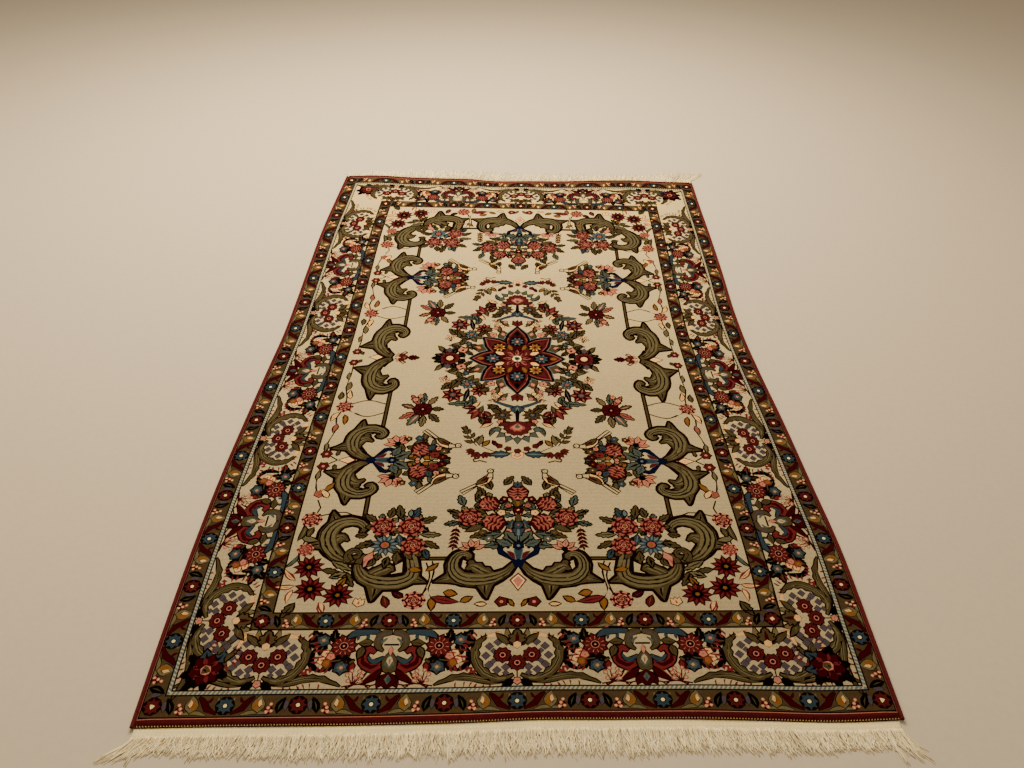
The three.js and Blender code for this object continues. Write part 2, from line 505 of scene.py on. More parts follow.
def rectangle(half_width, half_length):
    """A rectangle round the middle"""
    corner = complex(half_width, half_length)
    return [-corner, corner.conjugate(), corner, -corner.conjugate()]


def both_ends():
    """Draws what follows at both ends"""
    return rug.copies([lambda p: p, lambda p: p.conjugate()])


def both_sides():
    """Draws what follows at both sides"""
    return rug.copies([lambda p: p, lambda p: -p.conjugate()])


def end_scrolls():
    """The two scrolls along an end of the field, and the one that climbs its side"""
    acanthus([(6, 718), (22, 744), (50, 762), (87, 768), (117, 761), (134, 737), (131, 708), (116, 694),
              (101, 701), (105, 712)],
             [8, 18, 30, 35, 33, 27, 22, 18, 14, 6],
             [(132, 760, 10, 38, 32, 6), (66, 768, 86, 48, 44, 8)],
             [(44, 756), (66, 748), (84, 736), (94, 730), (104, 740)])
    acanthus([(326, 716), (324, 736), (309, 760), (278, 773), (242, 773), (216, 758), (215, 728), (223, 702),
              (237, 693), (247, 703), (241, 715)],
             [12, 20, 30, 37, 36, 32, 27, 23, 19, 14, 6],
             [(218, 762, 170, 36, 32, -6), (284, 772, 94, 50, 46, -8)],
             [(306, 762), (292, 748), (274, 738), (262, 732), (252, 742)])
    acanthus([(318, 702), (347, 713), (376, 698), (396, 668), (400, 636), (386, 609), (359, 599), (336, 605),
              (325, 621), (332, 634)],
             [12, 20, 30, 38, 38, 33, 27, 21, 15, 6],
             [(394, 664, 8, 50, 44, 8), (386, 612, -62, 44, 38, -8)],
             [(386, 690), (390, 670), (382, 652), (370, 646), (356, 658)])
    for curl in ([(327, 722), (318, 704), (301, 706), (297, 720), (308, 727), (313, 717)],
                 [(342, 716), (352, 700), (342, 685), (328, 690), (328, 703), (339, 703)]):
        rug.edged("olive", ribbon(curl, [15, 13, 11, 9, 7, 4]), "ink", 2.8)
        rug.fill("ink", ribbon(curl[:-1], [1, 2, 2, 1], 2))


def side_scroll():
    """A scroll of the side frame, drawn from its joint at the origin"""
    acanthus([(349, 5), (369, 16), (389, 38), (396, 68), (386, 98), (360, 112), (337, 108), (325, 96),
              (331, 83), (341, 88)],
             [11, 22, 32, 36, 33, 27, 22, 18, 13, 6],
             [(392, 50, -6, 50, 42, -6), (380, 98, 80, 46, 40, 8)],
             [(376, 26), (386, 46), (380, 66), (364, 76), (348, 66)])


def bar(start, end):
    """A thin straight bar between two scrolls"""
    rug.line("ink", [start, end], 12, 1)
    rug.line("olive", [start, end], 4.6, 1)


def fleur():
    """The blue calyx that a bouquet grows from, along +X"""
    with rug.mirrored():
        arm = [(6, 6), (20, 22), (30, 36), (44, 38), (50, 26), (42, 20)]
        rug.edged("navy", ribbon(arm, [5, 11, 13, 12, 8, 4]), "navy", 0.8)
        with rug.at(12, 4, 32):
            rug.edged("red", leaf(30, 11, 5, 4), "sky", 1.6)
        plant(((saw_leaf, 54, 6, 30, 44, 30, "sage", "ink"), (saw_leaf, 50, 16, 64, 34, 22, "sage", "slate")))
    rug.edged("slate", ribbon([(8, 0), (24, 0), (40, 0)], [6, 14, 18]), "sky", 1.6)
    rug.edged("navy", lobed(13, 5, 0.3), "navy", 0.6)
    with rug.at(50, 0):
        rug.edged("navy", lobed(13, 6, 0.25), "ink", 1)
        rug.fill("sky", disc(4, 6))


def lozenge(length, width, yarn="peach"):
    """A pointed bud between scrolls"""
    for side, tone in ((0, "wine"), (2.4, "coral"), (4.6, "ivory"), (7.2, yarn)):
        half, tall = width / 2 - side, length / 2 - side * 1.2
        flank = complex(-tall * 0.2, half)
        rug.fill(tone, [-tall + 0j, flank.conjugate(), tall + 0j, flank])


END_BOUQUET = (
    (saw_leaf, 60, 500, -70, 34, 18), (saw_leaf, 96, 556, -150, 30, 16, "olive"),
    (saw_leaf, 70, 576, -20, 40, 20), (saw_leaf, 44, 578, 170, 34, 16, "sage"),
    (saw_leaf, 100, 622, -30, 36, 18), (saw_leaf, 62, 634, 20, 42, 18, "olive"),
    (saw_leaf, 24, 620, 100, 30, 16), (saw_leaf, 50, 560, 120, 26, 14, "moss"),
    (saw_leaf, 30, 486, -125, 34, 18), (saw_leaf, 74, 520, -60, 30, 16),
    (saw_leaf, 118, 552, -70, 34, 18, "sage"), (saw_leaf, 124, 580, -25, 32, 16),
    (saw_leaf, 128, 604, 12, 30, 16, "sage"), (saw_leaf, 92, 530, -110, 28, 14),
    (saw_leaf, 30, 566, 200, 26, 14), (saw_leaf, 34, 636, 20, 48, 20, "sage"),
    (saw_leaf, 14, 664, 10, 62, 24, "sage"), (plain_leaf, 78, 612, 30, 40, 16),
    (plain_leaf, 84, 572, 0, 30, 14, 0, "olive"), (plain_leaf, 12, 596, 80, 44, 16, 0, "slate"),
    (plain_leaf, 8, 560, 120, 26, 14, 0, "olive"), (cabbage_rose, 63, 546, 30, 24), (rose, 105, 588, 0, 25),
    (cabbage_rose, 52, 604, -30, 27, "coral"), (saw_leaf, 20, 540, 60, 34, 18, "sage"),
    (posy, 30, 532, 0, 9, "wine", "rose"), (posy, 22, 552, 0, 8, "coral", "wine"),
    (posy, 76, 634, 0, 9, "olive", "gold"), (posy, 62, 652, 0, 10, "sage", "peach"),
    (posy, 44, 662, 0, 8, "olive", "peach"), (fan_lily, 96, 682, -80, 26, "rose", "moss"),
    (posy, 20, 632, 0, 11, "rose", "wine"), (spray, 132, 618, 86, 66),
    (posy, 36, 574, 0, 10, "peach", "wine"),
)
END_MIDDLE = (
    (saw_leaf, 0, 560, -90, 40, 30, "olive", "gold"), (saw_leaf, 0, 640, -90, 44, 26, "sage", "ink"),
    (plain_leaf, 0, 590, -90, 30, 14, 0, "rose", "coral"), (saw_leaf, 0, 660, -90, 54, 30, "slate", "sky"),
    (plain_leaf, 0, 612, -90, 36, 12, 0, "olive"), (posy, 0, 612, 0, 12, "slate", "coral"),
    (cabbage_rose, 0, 512, 90, 25, "coral", "rose"), (posy, 0, 566, 0, 12, "wine", "peach"),
    (tulip, 0, 492, -90, 16, "slate", "navy"), (fleur, 0, 722, -90), (lozenge, 0, 772, 90, 50, 36, "rose"),
)
SIDE_BOUQUET = (
    (saw_leaf, 262, 8, 168, 50, 20, "olive", "gold"), (saw_leaf, 220, 8, 172, 46, 18, "moss", "coral"),
    (saw_leaf, 236, 14, 140, 34, 18, "sage"), (saw_leaf, 180, 30, 150, 26, 14),
    (saw_leaf, 182, 8, 180, 24, 14), (posy, 214, 10, 0, 8, "gold", "coral"),
    (posy, 234, 4, 0, 6, "rose", "wine"), (saw_leaf, 232, 30, 100, 50, 26, "slate", "sage"),
    (saw_leaf, 250, 52, 150, 38, 18), (saw_leaf, 206, 36, 190, 46, 18),
    (saw_leaf, 190, 18, 210, 36, 16, "sage"), (plain_leaf, 268, 30, 60, 46, 16),
    (saw_leaf, 206, 56, 130, 30, 14, "sage"), (saw_leaf, 286, 44, 70, 40, 20),
    (plain_leaf, 224, 72, 95, 30, 14), (fan_lily, 286, 58, 72, 30, "rose", "coral"),
    (cabbage_rose, 228, 39, -60, 25, "coral"), (posy, 195, 20, 0, 12, "madder", "ink", 6),
    (posy, 176, 12, 0, 11, "wine", "gold"), (posy, 174, 32, 0, 10, "olive", "peach"),
    (posy, 204, 44, 0, 10, "slate", "wine"), (posy, 252, 16, 0, 8, "gold", "coral"),
    (posy, 236, 78, 0, 10, "slate", "sky"), (posy, 262, 76, 0, 8, "olive", "peach"),
    (posy, 188, 42, 0, 8, "rose", "wine"), (berries, 262, 66, 60, ((18, 4), (14, -8), (24, -4)), 4),
)
CORNER_BOUQUET = (
    (saw_leaf, 252, 592, -80, 40, 20), (saw_leaf, 276, 590, -100, 30, 18),
    (saw_leaf, 226, 592, -110, 34, 18, "slate"), (saw_leaf, 208, 606, -150, 36, 18),
    (saw_leaf, 304, 602, -40, 34, 18), (saw_leaf, 318, 640, 10, 24, 16),
    (saw_leaf, 206, 640, 178, 42, 16, "moss"), (saw_leaf, 200, 660, 150, 40, 16),
    (saw_leaf, 304, 664, 20, 36, 18), (saw_leaf, 196, 682, 110, 30, 14, "slate"),
    (saw_leaf, 250, 690, 90, 34, 18), (saw_leaf, 268, 704, 80, 30, 16),
    (plain_leaf, 252, 640, 100, 34, 14, 0, "slate", "sky"),
    (plain_leaf, 300, 690, 60, 44, 14, 8, "rose", "coral"), (saw_leaf, 236, 690, 130, 26, 14),
    (plain_leaf, 232, 586, -90, 20, 9, 0, "sky", "slate"), (rose, 287, 616, 0, 26), (rose, 228, 616, 0, 28),
    (rose, 220, 672, 0, 25, "coral", "coral"), (daisy, 278, 670, 10, 31, "slate", "sky", "coral", 12),
)
CORNER_FLOWERS = (
    (saw_leaf, 380, 716, 150, 50, 18, "moss"), (saw_leaf, 352, 744, 120, 46, 18),
    (saw_leaf, 396, 740, 170, 36, 14), (saw_leaf, 344, 760, 60, 34, 14, "gold"),
    (saw_leaf, 436, 826, 60, 40, 18), (saw_leaf, 378, 760, 200, 34, 16, "moss"),
    (plain_leaf, 446, 782, 20, 34, 9, -10, "peach", "coral", "madder"),
    (plain_leaf, 446, 766, -30, 36, 9, -12, "peach", "coral", "madder"),
    (plain_leaf, 446, 794, 60, 30, 8, 10, "peach", "coral", "madder"),
    (plain_leaf, 384, 828, 80, 22, 8, 6, "peach", "coral", "madder"),
    (plain_leaf, 388, 826, 130, 24, 8, -6, "peach", "coral", "madder"), (daisy, 424, 732, 0, 31, "wine"),
    (daisy, 412, 790, 16, 32, "wine"), (daisy, 355, 806, 5, 31, "wine"),
    (tulip, 312, 832, -100, 17, "peach", "coral"),
)
FIELD_EDGE = (
    (rose, 204, 820, 0, 22, "rose", "coral", "wine"), (plain_leaf, 226, 812, -30, 26, 14, 0, "wine", "slate"),
    (plain_leaf, 256, 838, -80, 30, 14, 4, "red", "gold"),
    (plain_leaf, 168, 812, 90, 34, 14, 0, "gold", "coral"),
    (plain_leaf, 172, 812, 160, 56, 16, 8, "madder", "wine"),
    (plain_leaf, 146, 800, 170, 26, 16, 0, "gold", "coral"),
    (plain_leaf, 112, 824, 210, 26, 12, 0, "gold", "moss"),
    (plain_leaf, 186, 742, 210, 30, 11, 6, "gold", "moss"),
    (plain_leaf, 196, 742, -10, 26, 11, 0, "gold", "moss"), (posy, 32, 824, 0, 13, "red", "rose"),
    (plain_leaf, 18, 818, 120, 20, 8, 0, "gold", "moss"),
    (plain_leaf, 62, 830, 0, 22, 9, 0, "peach", "coral"), (rose, 442, 596, 0, 21, "rose", "coral"),
    (plain_leaf, 452, 616, 100, 40, 12, -16), (plain_leaf, 434, 620, 60, 30, 12, 8),
    (plain_leaf, 452, 652, 170, 34, 14, 0, "moss", "olive"), (tulip, 440, 524, -90, 18, "coral", "gold"),
    (plain_leaf, 430, 510, -120, 36, 12, 0, "gold", "moss"),
    (plain_leaf, 420, 528, -60, 28, 13, 0, "peach", "coral"),
    (plain_leaf, 456, 470, -100, 30, 9, 4, "moss", "gold"),
    (rose, 439, 684, 0, 17, "rose", "coral", "madder"),
    (plain_leaf, 452, 700, 80, 36, 8, -14, "sage", "moss"), (posy, 449, 425, 0, 14, "red", "rose", 6),
    (posy, 449, 383, 0, 14, "red", "rose", 6), (plain_leaf, 424, 420, 100, 18, 8, 0, "olive", "moss"),
    (plain_leaf, 424, 388, -100, 18, 8, 0, "olive", "moss"),
    (plain_leaf, 456, 344, 100, 30, 9, -4, "moss", "gold"), (lozenge, 398, 404, 0, 44, 28),
    (rose, 438, 208, 0, 20, "rose", "coral"), (plain_leaf, 450, 232, 60, 34, 12, 6, "peach", "coral"),
    (plain_leaf, 432, 240, 110, 36, 11, -8, "gold", "coral"),
    (plain_leaf, 444, 276, 80, 30, 11, 0, "coral", "gold"), (plain_leaf, 456, 180, -100, 30, 12, 6),
    (plain_leaf, 430, 176, -70, 34, 12, -6, "peach", "coral"),
    (plain_leaf, 444, 142, -95, 34, 13, 0, "moss", "olive"),
    (plain_leaf, 450, 98, -90, 30, 9, 3, "moss", "gold"), (posy, 449, 24, 0, 13, "red", "rose", 6),
    (plain_leaf, 430, 12, 60, 16, 8, 0, "olive", "moss"),
)


def field_stems():
    """Thin stems that join the flowers along the field's edge"""
    for points in ([(176, 716), (170, 748), (178, 790), (172, 812)],
                   [(188, 720), (178, 756), (186, 800), (200, 812)],
                   [(338, 596), (372, 574), (404, 578), (438, 590)], [(436, 580), (430, 560), (440, 536)],
                   [(420, 404), (432, 412), (446, 424)], [(420, 404), (432, 396), (446, 384)],
                   [(336, 230), (376, 246), (412, 232), (432, 214)],
                   [(336, 196), (380, 182), (420, 196), (436, 206)],
                   [(446, 590), (456, 620), (446, 660), (452, 690)], [(430, 746), (446, 716), (452, 690)],
                   [(449, 24), (446, 80), (450, 130), (440, 170), (438, 206)],
                   [(438, 214), (450, 250), (444, 300), (454, 340), (449, 380)],
                   [(449, 428), (455, 480), (444, 520)]):
        rug.line("ink", points, 3.4, 3)


def red_palmette():
    """The small red palmette at the middle of a side, along +X towards the field's centre"""
    with rug.mirrored():
        rug.line("wine", [(0, 4), (14, 16), (24, 26), (32, 22), (28, 16)], 3.4)
        with rug.at(10, 3, 36):
            rug.edged("red", leaf(24, 12, 2, 4), "wine", 1.2)
        with rug.at(4, 4, 66):
            rug.edged("rose", leaf(16, 8, 2, 3), "wine", 1.2)
    with rug.at(26, 0):
        rug.edged("red", lobed(11, 6, 0.25), "ink", 1.4)
        rug.fill("gold", disc(4, 6))
    with rug.at(36, 0):
        saw_leaf(30, 20, "wine", "ink")


# How far from the middle the scrolls of a side meet, with a bouquet between them
SIDE_JOINT = 404


def draw_field():
    """The cream field with its frame of scrolls, its bouquets and the medallion"""
    rug.fill("cream", rectangle(ACROSS["field"], ALONG["field"]))
    with quarters():
        field_stems()
        bar((134, 709), (214, 709))
        bar((331, 514), (331, 600))
        bar((331, 134), (331, 294))
        end_scrolls()
        for joint, way, stretch in ((SIDE_JOINT, 1, 1), (SIDE_JOINT, -1, 1), (0, 1, 1.22)):
            with rug.copies([lambda p: complex(p.real, joint + way * stretch * p.imag)]):
                side_scroll()
        foliage(END_BOUQUET + CORNER_BOUQUET)
        plant(FIELD_EDGE + END_BOUQUET + CORNER_BOUQUET + CORNER_FLOWERS)
        with rug.at(84, 478, 220, 0.95):
            bird()
        for side in (1, -1):
            with rug.copies([lambda p: complex(p.real, SIDE_JOINT + side * p.imag)]):
                foliage(SIDE_BOUQUET)
                plant(SIDE_BOUQUET)
                with rug.at(185, 69, 221, 1.0, flip=True):
                    bird()
        with rug.at(343, SIDE_JOINT, 180):
            fleur()
        medallion_quarter()
    with both_ends():
        plant(END_MIDDLE)
    with both_sides():
        with rug.at(340, 0, 180):
            red_palmette()
        with rug.at(392, 0):
            lozenge(44, 28)
    medallion_star()


MEDALLION_WREATH = (
    (feather, 150, 60, 205, 44, "olive"), (plain_leaf, 196, 56, 172, 60, 14, -14, "moss", "olive"),
    (plain_leaf, 206, 26, 70, 34, 14, -8), (plain_leaf, 200, 30, -60, 28, 12, 0, "mauve", "rose"),
    (plain_leaf, 132, 20, 40, 50, 15, 6), (plain_leaf, 118, 74, 62, 46, 16, 0),
    (plain_leaf, 96, 92, 20, 40, 15, 0), (posy, 154, 36, 0, 16, "rose", "wine"),
    (saw_leaf, 166, 44, 40, 26, 14), (saw_leaf, 144, 30, -140, 24, 14), (posy, 139, 66, 0, 9, "slate", "sky"),
    (berries, 190, 74, 40, ((22, 2), (18, 12), (8, 16), (26, 14), (12, 26), (22, 28)), 5.0),
    (saw_leaf, 152, 88, 60, 52, 30), (saw_leaf, 176, 108, 50, 36, 22),
    (daisy, 133, 112, 20, 20, "slate", "sky", "coral", 7), (plain_leaf, 128, 130, 80, 60, 9, 0, "ink", "sky"),
    (saw_leaf, 120, 160, 110, 36, 16, "sage"), (daisy, 168, 157, 25, 30, "wine", "coral", "mauve", 7),
    (daisy, 98, 137, 10, 27, "wine", "coral", "wine", 9), (saw_leaf, 112, 190, 4, 66, 20, "sage"),
    (plain_leaf, 96, 186, 40, 40, 12, 10, "peach", "coral"), (plain_leaf, 66, 96, 40, 36, 14, 0),
    (posy, 70, 110, 0, 11, "rose", "wine"), (plain_leaf, 48, 120, 70, 34, 12, 6),
    (berries, 70, 150, 150, ((14, 4), (22, -6), (26, 8), (12, -10)), 4.6),
    (berries, 78, 180, 200, ((12, -6), (20, 4), (24, -8)), 4.6), (saw_leaf, 76, 196, 150, 40, 18, "olive"),
    (plain_leaf, 88, 200, 70, 52, 13, 0, "olive", "moss"),
    (plain_leaf, 96, 214, 30, 36, 14, 0, "red", "rose"),
    (plain_leaf, 98, 220, 62, 38, 14, 0, "madder", "rose"),
    (plain_leaf, 92, 226, 96, 34, 13, 0, "red", "rose"), (plain_leaf, 84, 222, 128, 30, 13, 0, "red", "rose"),
    (plain_leaf, 106, 206, 5, 34, 13, 0, "wine", "rose"),
    (daisy, 38, 236, 0, 26, "olive", "wine", "slate", 10), (plain_leaf, 62, 240, 40, 40, 15),
    (posy, 76, 258, 0, 13, "wine", "red"), (plain_leaf, 62, 268, 20, 34, 10, 6, "peach", "coral"),
    (plain_leaf, 54, 282, 60, 36, 11, 6, "sage", "ink"), (posy, 42, 262, 0, 9, "rose", "coral"),
    (plain_leaf, 26, 150, 60, 40, 11, -8), (posy, 44, 124, 0, 7, "rose", "wine"),
    (posy, 62, 142, 0, 7, "rose", "wine"), (posy, 44, 152, 0, 7, "peach", "wine"),
    (posy, 36, 172, 0, 7, "rose", "wine"), (saw_leaf, 74, 132, 20, 26, 14),
    (saw_leaf, 148, 4, 60, 28, 14, "olive"), (saw_leaf, 178, 44, -60, 30, 14),
    (saw_leaf, 160, 60, 100, 28, 14), (saw_leaf, 112, 104, 130, 26, 14, "olive"),
    (saw_leaf, 138, 86, 20, 30, 16), (saw_leaf, 66, 214, 150, 28, 14),
    (saw_leaf, 118, 178, 60, 30, 16, "sage"), (saw_leaf, 20, 262, 30, 30, 14),
    (saw_leaf, 92, 244, 100, 28, 14), (saw_leaf, 132, 62, 200, 24, 12),
    (saw_leaf, 52, 198, 30, 26, 14, "olive"),
)
MEDALLION_MIDDLE = (
    (tulip, 0, 156, 90, 24, "red", "wine"), (saw_leaf, 0, 200, 90, 30, 40, "slate", "sky"),
    (plain_leaf, 0, 214, 90, 56, 6, 0, "ink", "ink"),
)
GARLAND = (
    (saw_leaf, 18, 380, 4, 50, 24, "slate", "sky"), (posy, 23, 362, 0, 8, "red", "wine"),
    (posy, 44, 352, 0, 8, "red", "wine"), (plain_leaf, 50, 350, -60, 20, 9, 0, "red", "wine"),
    (feather, 98, 352, -64, 74, "olive", "ink", 4, 0.8),
    (plain_leaf, 92, 348, -100, 36, 12, 0, "moss", "olive"),
    (plain_leaf, 84, 352, -130, 26, 11, 0, "gold", "moss"), (tulip, 106, 370, 20, 15, "red", "wine"),
    (tulip, 96, 378, 75, 17, "red", "wine"), (tulip, 78, 378, 110, 16, "red", "wine"),
)
LONE_FLOWER = (
    (saw_leaf, 248, 236, 60, 48, 26, "sage", "rose"), (saw_leaf, 236, 240, 88, 42, 18, "moss", "wine"),
    (saw_leaf, 258, 228, 34, 44, 18, "coral", "wine"), (saw_leaf, 222, 234, 130, 40, 20),
    (saw_leaf, 250, 198, -58, 44, 18, "coral", "wine"), (saw_leaf, 240, 194, -88, 42, 16, "sage", "ink"),
    (saw_leaf, 228, 198, -124, 38, 16, "moss", "gold"), (saw_leaf, 262, 210, -20, 34, 16, "olive", "rose"),
    (saw_leaf, 218, 214, 176, 30, 16), (posy, 262, 178, 0, 8, "rose", "wine"),
    (posy, 250, 164, 0, 7, "rose", "wine"), (rayed, 240, 216, 0, 26, "wine", "red", "ink"),
)


def garland_stems():
    """The stems of the wreath and of the garland beyond it"""
    rug.line("ink", [(0, 372), (40, 378), (70, 364), (92, 350)], 2.2)
    rug.line("ink", [(92, 350), (104, 330), (116, 306)], 2.2)
    rug.line("wine", [(92, 396), (104, 400), (100, 408), (88, 404), (72, 410)], 4)
    rug.line("slate", [(0, 208), (26, 200), (48, 188), (66, 176)], 11)
    rug.line("ink", [(20, 150), (44, 166), (70, 186)], 2)
    rug.line("ink", [(126, 58), (150, 84), (140, 110), (128, 140), (124, 176)], 2.4)


def medallion_quarter():
    """The floral wreath round the star, a quarter of it, and the garland beyond it"""
    garland_stems()
    plant(MEDALLION_WREATH + GARLAND + LONE_FLOWER)


def fan(high, low, step, count):
    """The scalloped edge of a fan that opens along +X, its points a step in degrees apart"""
    first = -step * (count - 1) / 2
    return [cmath.rect(high if k % 2 else low, radians(first + step * k)) for k in range(count)]


def fan_palmette():
    """A red fan with a crown of leaves, along +X"""
    for turn in (-75, -50, -25, 25, 50, 75, 0):
        with rug.at(0, 0, turn):
            rug.line("ink", [(24, 0), (46, 0)], 2, 1)
            with rug.at(42, 0):
                rug.edged("sage", [0j, 6 - 9j, 24 + 0j, 6 + 9j], "ink", 3)
    base = [-8 + 34j, -14 + 16j, -18 + 0j, -14 - 16j, -8 - 34j]
    rug.edged("red", base[-1:] + fan(36, 31, 14, 13) + base[:-1], "ink", 2.4)
    rug.fill("coral", fan(22, 18, 20, 9) + [-12 + 0j])
    rug.fill("rose", fan(16, 13, 20, 8) + [-10 + 0j])
    rug.fill("sage", fan(9, 9, 30, 5) + [-10 + 0j])
    for side in (-1, 1):
        with rug.at(-6, 30 * side, 90 * side):
            rug.edged("red", lobed(9, 5, 0.3), "wine", 1.5)


def star_petal(length, wide, root):
    """A pointed petal of the star, along +X from the root"""
    shares = ((0.42, 0.86), (0.58, 1), (0.74, 0.8), (0.9, 0.34))
    flank = [complex(root + 4, wide * 0.45)] + [complex(length * along, wide * out) for along, out in shares]
    return [root + 0j] + [p.conjugate() for p in flank] + [length + 0j] + flank[::-1]


# The star's petals: turn, length, half width
STAR_PETALS = [(turn, 128, 24) for turn in (45, 135, 225, 315)] + [
    (0, 122, 27), (180, 122, 27), (90, 140, 27), (270, 140, 27)]


def star_disc(r, petal, light, heart):
    """A round flower inside a petal of the star"""
    rug.fill("ink", disc(r, 14))
    for k in range(8):
        with rug.at(0, 0, 45 * k + 22.5):
            rug.fill(petal, leaf(r * 0.8, r * 0.46, 0, 4, start=r * 0.1))
            rug.fill(light, leaf(r * 0.4, r * 0.14, 0, 2, start=r * 0.4))
    rug.fill(heart, disc(r * 0.24, 6))


def medallion_star():
    """The eight-pointed star of the medallion"""
    with quarters():
        for turn in (24, 70):
            with rug.at(0, 0, turn):
                rug.edged("olive", leaf(44, 36, 0, 5, start=92), "ink", 2.4)
                rug.edged("rose", leaf(18, 11, 0, 4, start=112), "wine", 1.4)
    for yarn, rim in (("sky", 12.5), ("ink", 10.3), ("coral", 3)):
        for turn, length, wide in STAR_PETALS:
            with rug.at(0, 0, turn):
                rug.fill(yarn, star_petal(length + rim * 1.3, wide + rim, 8))
    rug.fill("wine", lobed(82, 8, 0.1, 4))
    for turn, length, wide in STAR_PETALS:
        side_on = turn % 90 == 0
        with rug.at(0, 0, turn):
            rug.edged("red", star_petal(length, wide, 20), "wine", 1)
            yarn, edge = ("wine", "ink") if side_on else ("red", "wine")
            rug.edged(yarn, star_petal(length * 0.92, wide * 0.78, 30), edge, 2.6)
            if side_on:
                yarn = "gold" if turn % 180 == 0 else "green"
                rug.edged(yarn, leaf(length * 0.17, wide * 0.5, 0, 4, start=length * 0.75), "wine", 1.4)
            with rug.at(length * 0.56, 0):
                if side_on:
                    star_disc(wide * 0.86, "slate", "sky", "rose")
                else:
                    star_disc(wide * 0.9, "gold", "peach", "wine")
    for turn, wide, yarn in ((26, 15, "peach"), (68, 12, "gold")):
        with quarters():
            with rug.at(0, 0, turn):
                rug.edged(yarn, leaf(28, wide, 0, 4, start=40), "ink", 1.6)
    for k in range(8):
        with rug.at(0, 0, 45 * k):
            rug.edged("coral", leaf(29, 14, 0, 4, start=11), "wine", 2.6)
            rug.fill("red", leaf(20, 5, 0, 3, start=16))
    rug.edged("ivory", disc(13, 10), "wine", 2)
    rug.fill("sage", lobed(10, 8, 0.25, 2))
    rug.fill("ink", disc(3.6, 6))
    with both_ends():
        plant(MEDALLION_MIDDLE)
        with rug.at(0, 278, 90):
            fan_palmette()
        with rug.at(0, 384, 90):
            rug.edged("peach", lobed(15, 6, 0.2), "coral", 1.6)
            rug.fill("coral", lobed(9, 5, 0.2))
            rug.fill("cream", disc(6, 6))
        with rug.at(0, 370):
            posy(8, "red", "wine")
    with both_sides():
        with rug.at(188, 0):
            for k in range(8):
                with rug.at(0, 0, 45 * k + 22):
                    with rug.at(24, 0):
                        saw_leaf(20, 16, "green", "olive", pairs=2)
            rug.edged("red", lobed(28, 10, 0.14, 2), "ink", 2.6)
            rug.fill("wine", lobed(20, 8, 0.2, 2))
            rug.fill("peach", disc(10, 8))
            for side in (-1, 1):
                with rug.at(4, 26 * side, 90 * side):
                    rug.edged("mauve", leaf(22, 16, 0, 4), "ink", 1.2)
        with rug.at(214, 0):
            plain_leaf(24, 14, 0, "green", "sage")


def round_red(r):
    """A round dark-red flower of the wreaths"""
    rug.edged("red", lobed(r, 9, 0.2, 2), "ink", 2.2)
    for k in range(9):
        way = cmath.rect(r, 2 * pi * k / 9)
        rug.fill("wine", [0.5 * way, (0.82 + 0.06j) * way, (0.82 - 0.06j) * way])
    rug.fill("wine", disc(r * 0.58, 8))
    rug.fill("rose", disc(r * 0.36, 7))
    rug.fill("ink", disc(r * 0.24, 6))


def barbs(points, count, length, side, yarn="madder"):
    """Short barbs that stand out from one side of a leaf"""
    line = smooth([complex(*p) for p in points], 8)
    for k in range(count):
        j = 1 + int((k + 0.5) / count * (len(line) - 3))
        ahead = line[j + 1] - line[j - 1]
        way = ahead / abs(ahead) * cmath.rect(1, radians(62) * side)
        rug.fill(yarn, [line[j] + p * way for p in leaf(length, length * 0.36, 3.5 * side, 3)])


def diamond(x, y, r, yarn):
    """A small diamond between the flowers of a wreath"""
    rug.edged(yarn, [complex(x - r, y), complex(x, y - r), complex(x + r, y), complex(x, y + r)], "ink", 0.8)


def wreath():
    """Two acanthus leaves round a lotus and three red flowers; +X outwards, the border runs along Y"""
    ring = [(38, 8), (46, 32), (32, 60), (2, 77), (-26, 75), (-46, 58)]
    sweep = [(42, 12), (50, 34), (47, 60), (40, 88), (42, 118), (56, 150)]
    with rug.mirrored():
        for line, widths in ((sweep, [5, 12, 15, 14, 11, 2]), (ring, [5, 14, 18, 18, 14, 3])):
            rug.edged("olive", ribbon(line, widths, 3, -0.5), "ink", 2.6)
            rug.fill("moss", ribbon(line[:-1], [1, 5, 7, 5, 1], 2))
            rug.fill("ink", ribbon(line[1:-1], [0.8, 2.2, 0.8], 2))
        barbs([(34, 72), (4, 90), (-28, 88), (-50, 70)], 9, 16, -1)
        barbs([(-50, 44), (-54, 60), (-44, 76)], 3, 12, -1, "wine")
        barbs([(38, 74), (30, 98), (34, 126)], 6, 15, 1)
        barbs([(56, 44), (56, 66), (49, 90), (52, 120)], 6, 13, -1)
        for x, y in ((-32, 36), (-23, 52), (-3, 58), (17, 52), (28, 37), (22, 21)):
            diamond(x, y, 8.6, "mauve")
        for x, y in ((-13, 44), (9, 44), (-40, 21), (34, 21), (-30, 20)):
            diamond(x, y, 6.2, "mauve")
        with rug.at(-4, 27):
            round_red(16.5)
        with rug.at(-54, 30, 70):
            rug.edged("peach", leaf(30, 9, 0, 4), "coral", 1.2)
        plant(((plain_leaf, 50, 7, 62, 22, 12, 0, "green", "ink"),
               (plain_leaf, -26, 12, 158, 38, 11, 7, "moss", "gold"), (plain_leaf, -30, 14, 122, 34, 12, 5)))
    plant(((saw_leaf, -20, 0, 180, 40, 36, "olive", "wine"),))
    with rug.at(-26, 0):
        rug.edged("peach", disc(8, 6), "wine", 1.4)
    plant(((round_red, 13, 0, 0, 16.5),))
    rug.line("wine", [(30, 0), (46, 0)], 2.4, 1)
    plant(((posy, 51, 0, 0, 7.5, "rose", "coral"),))


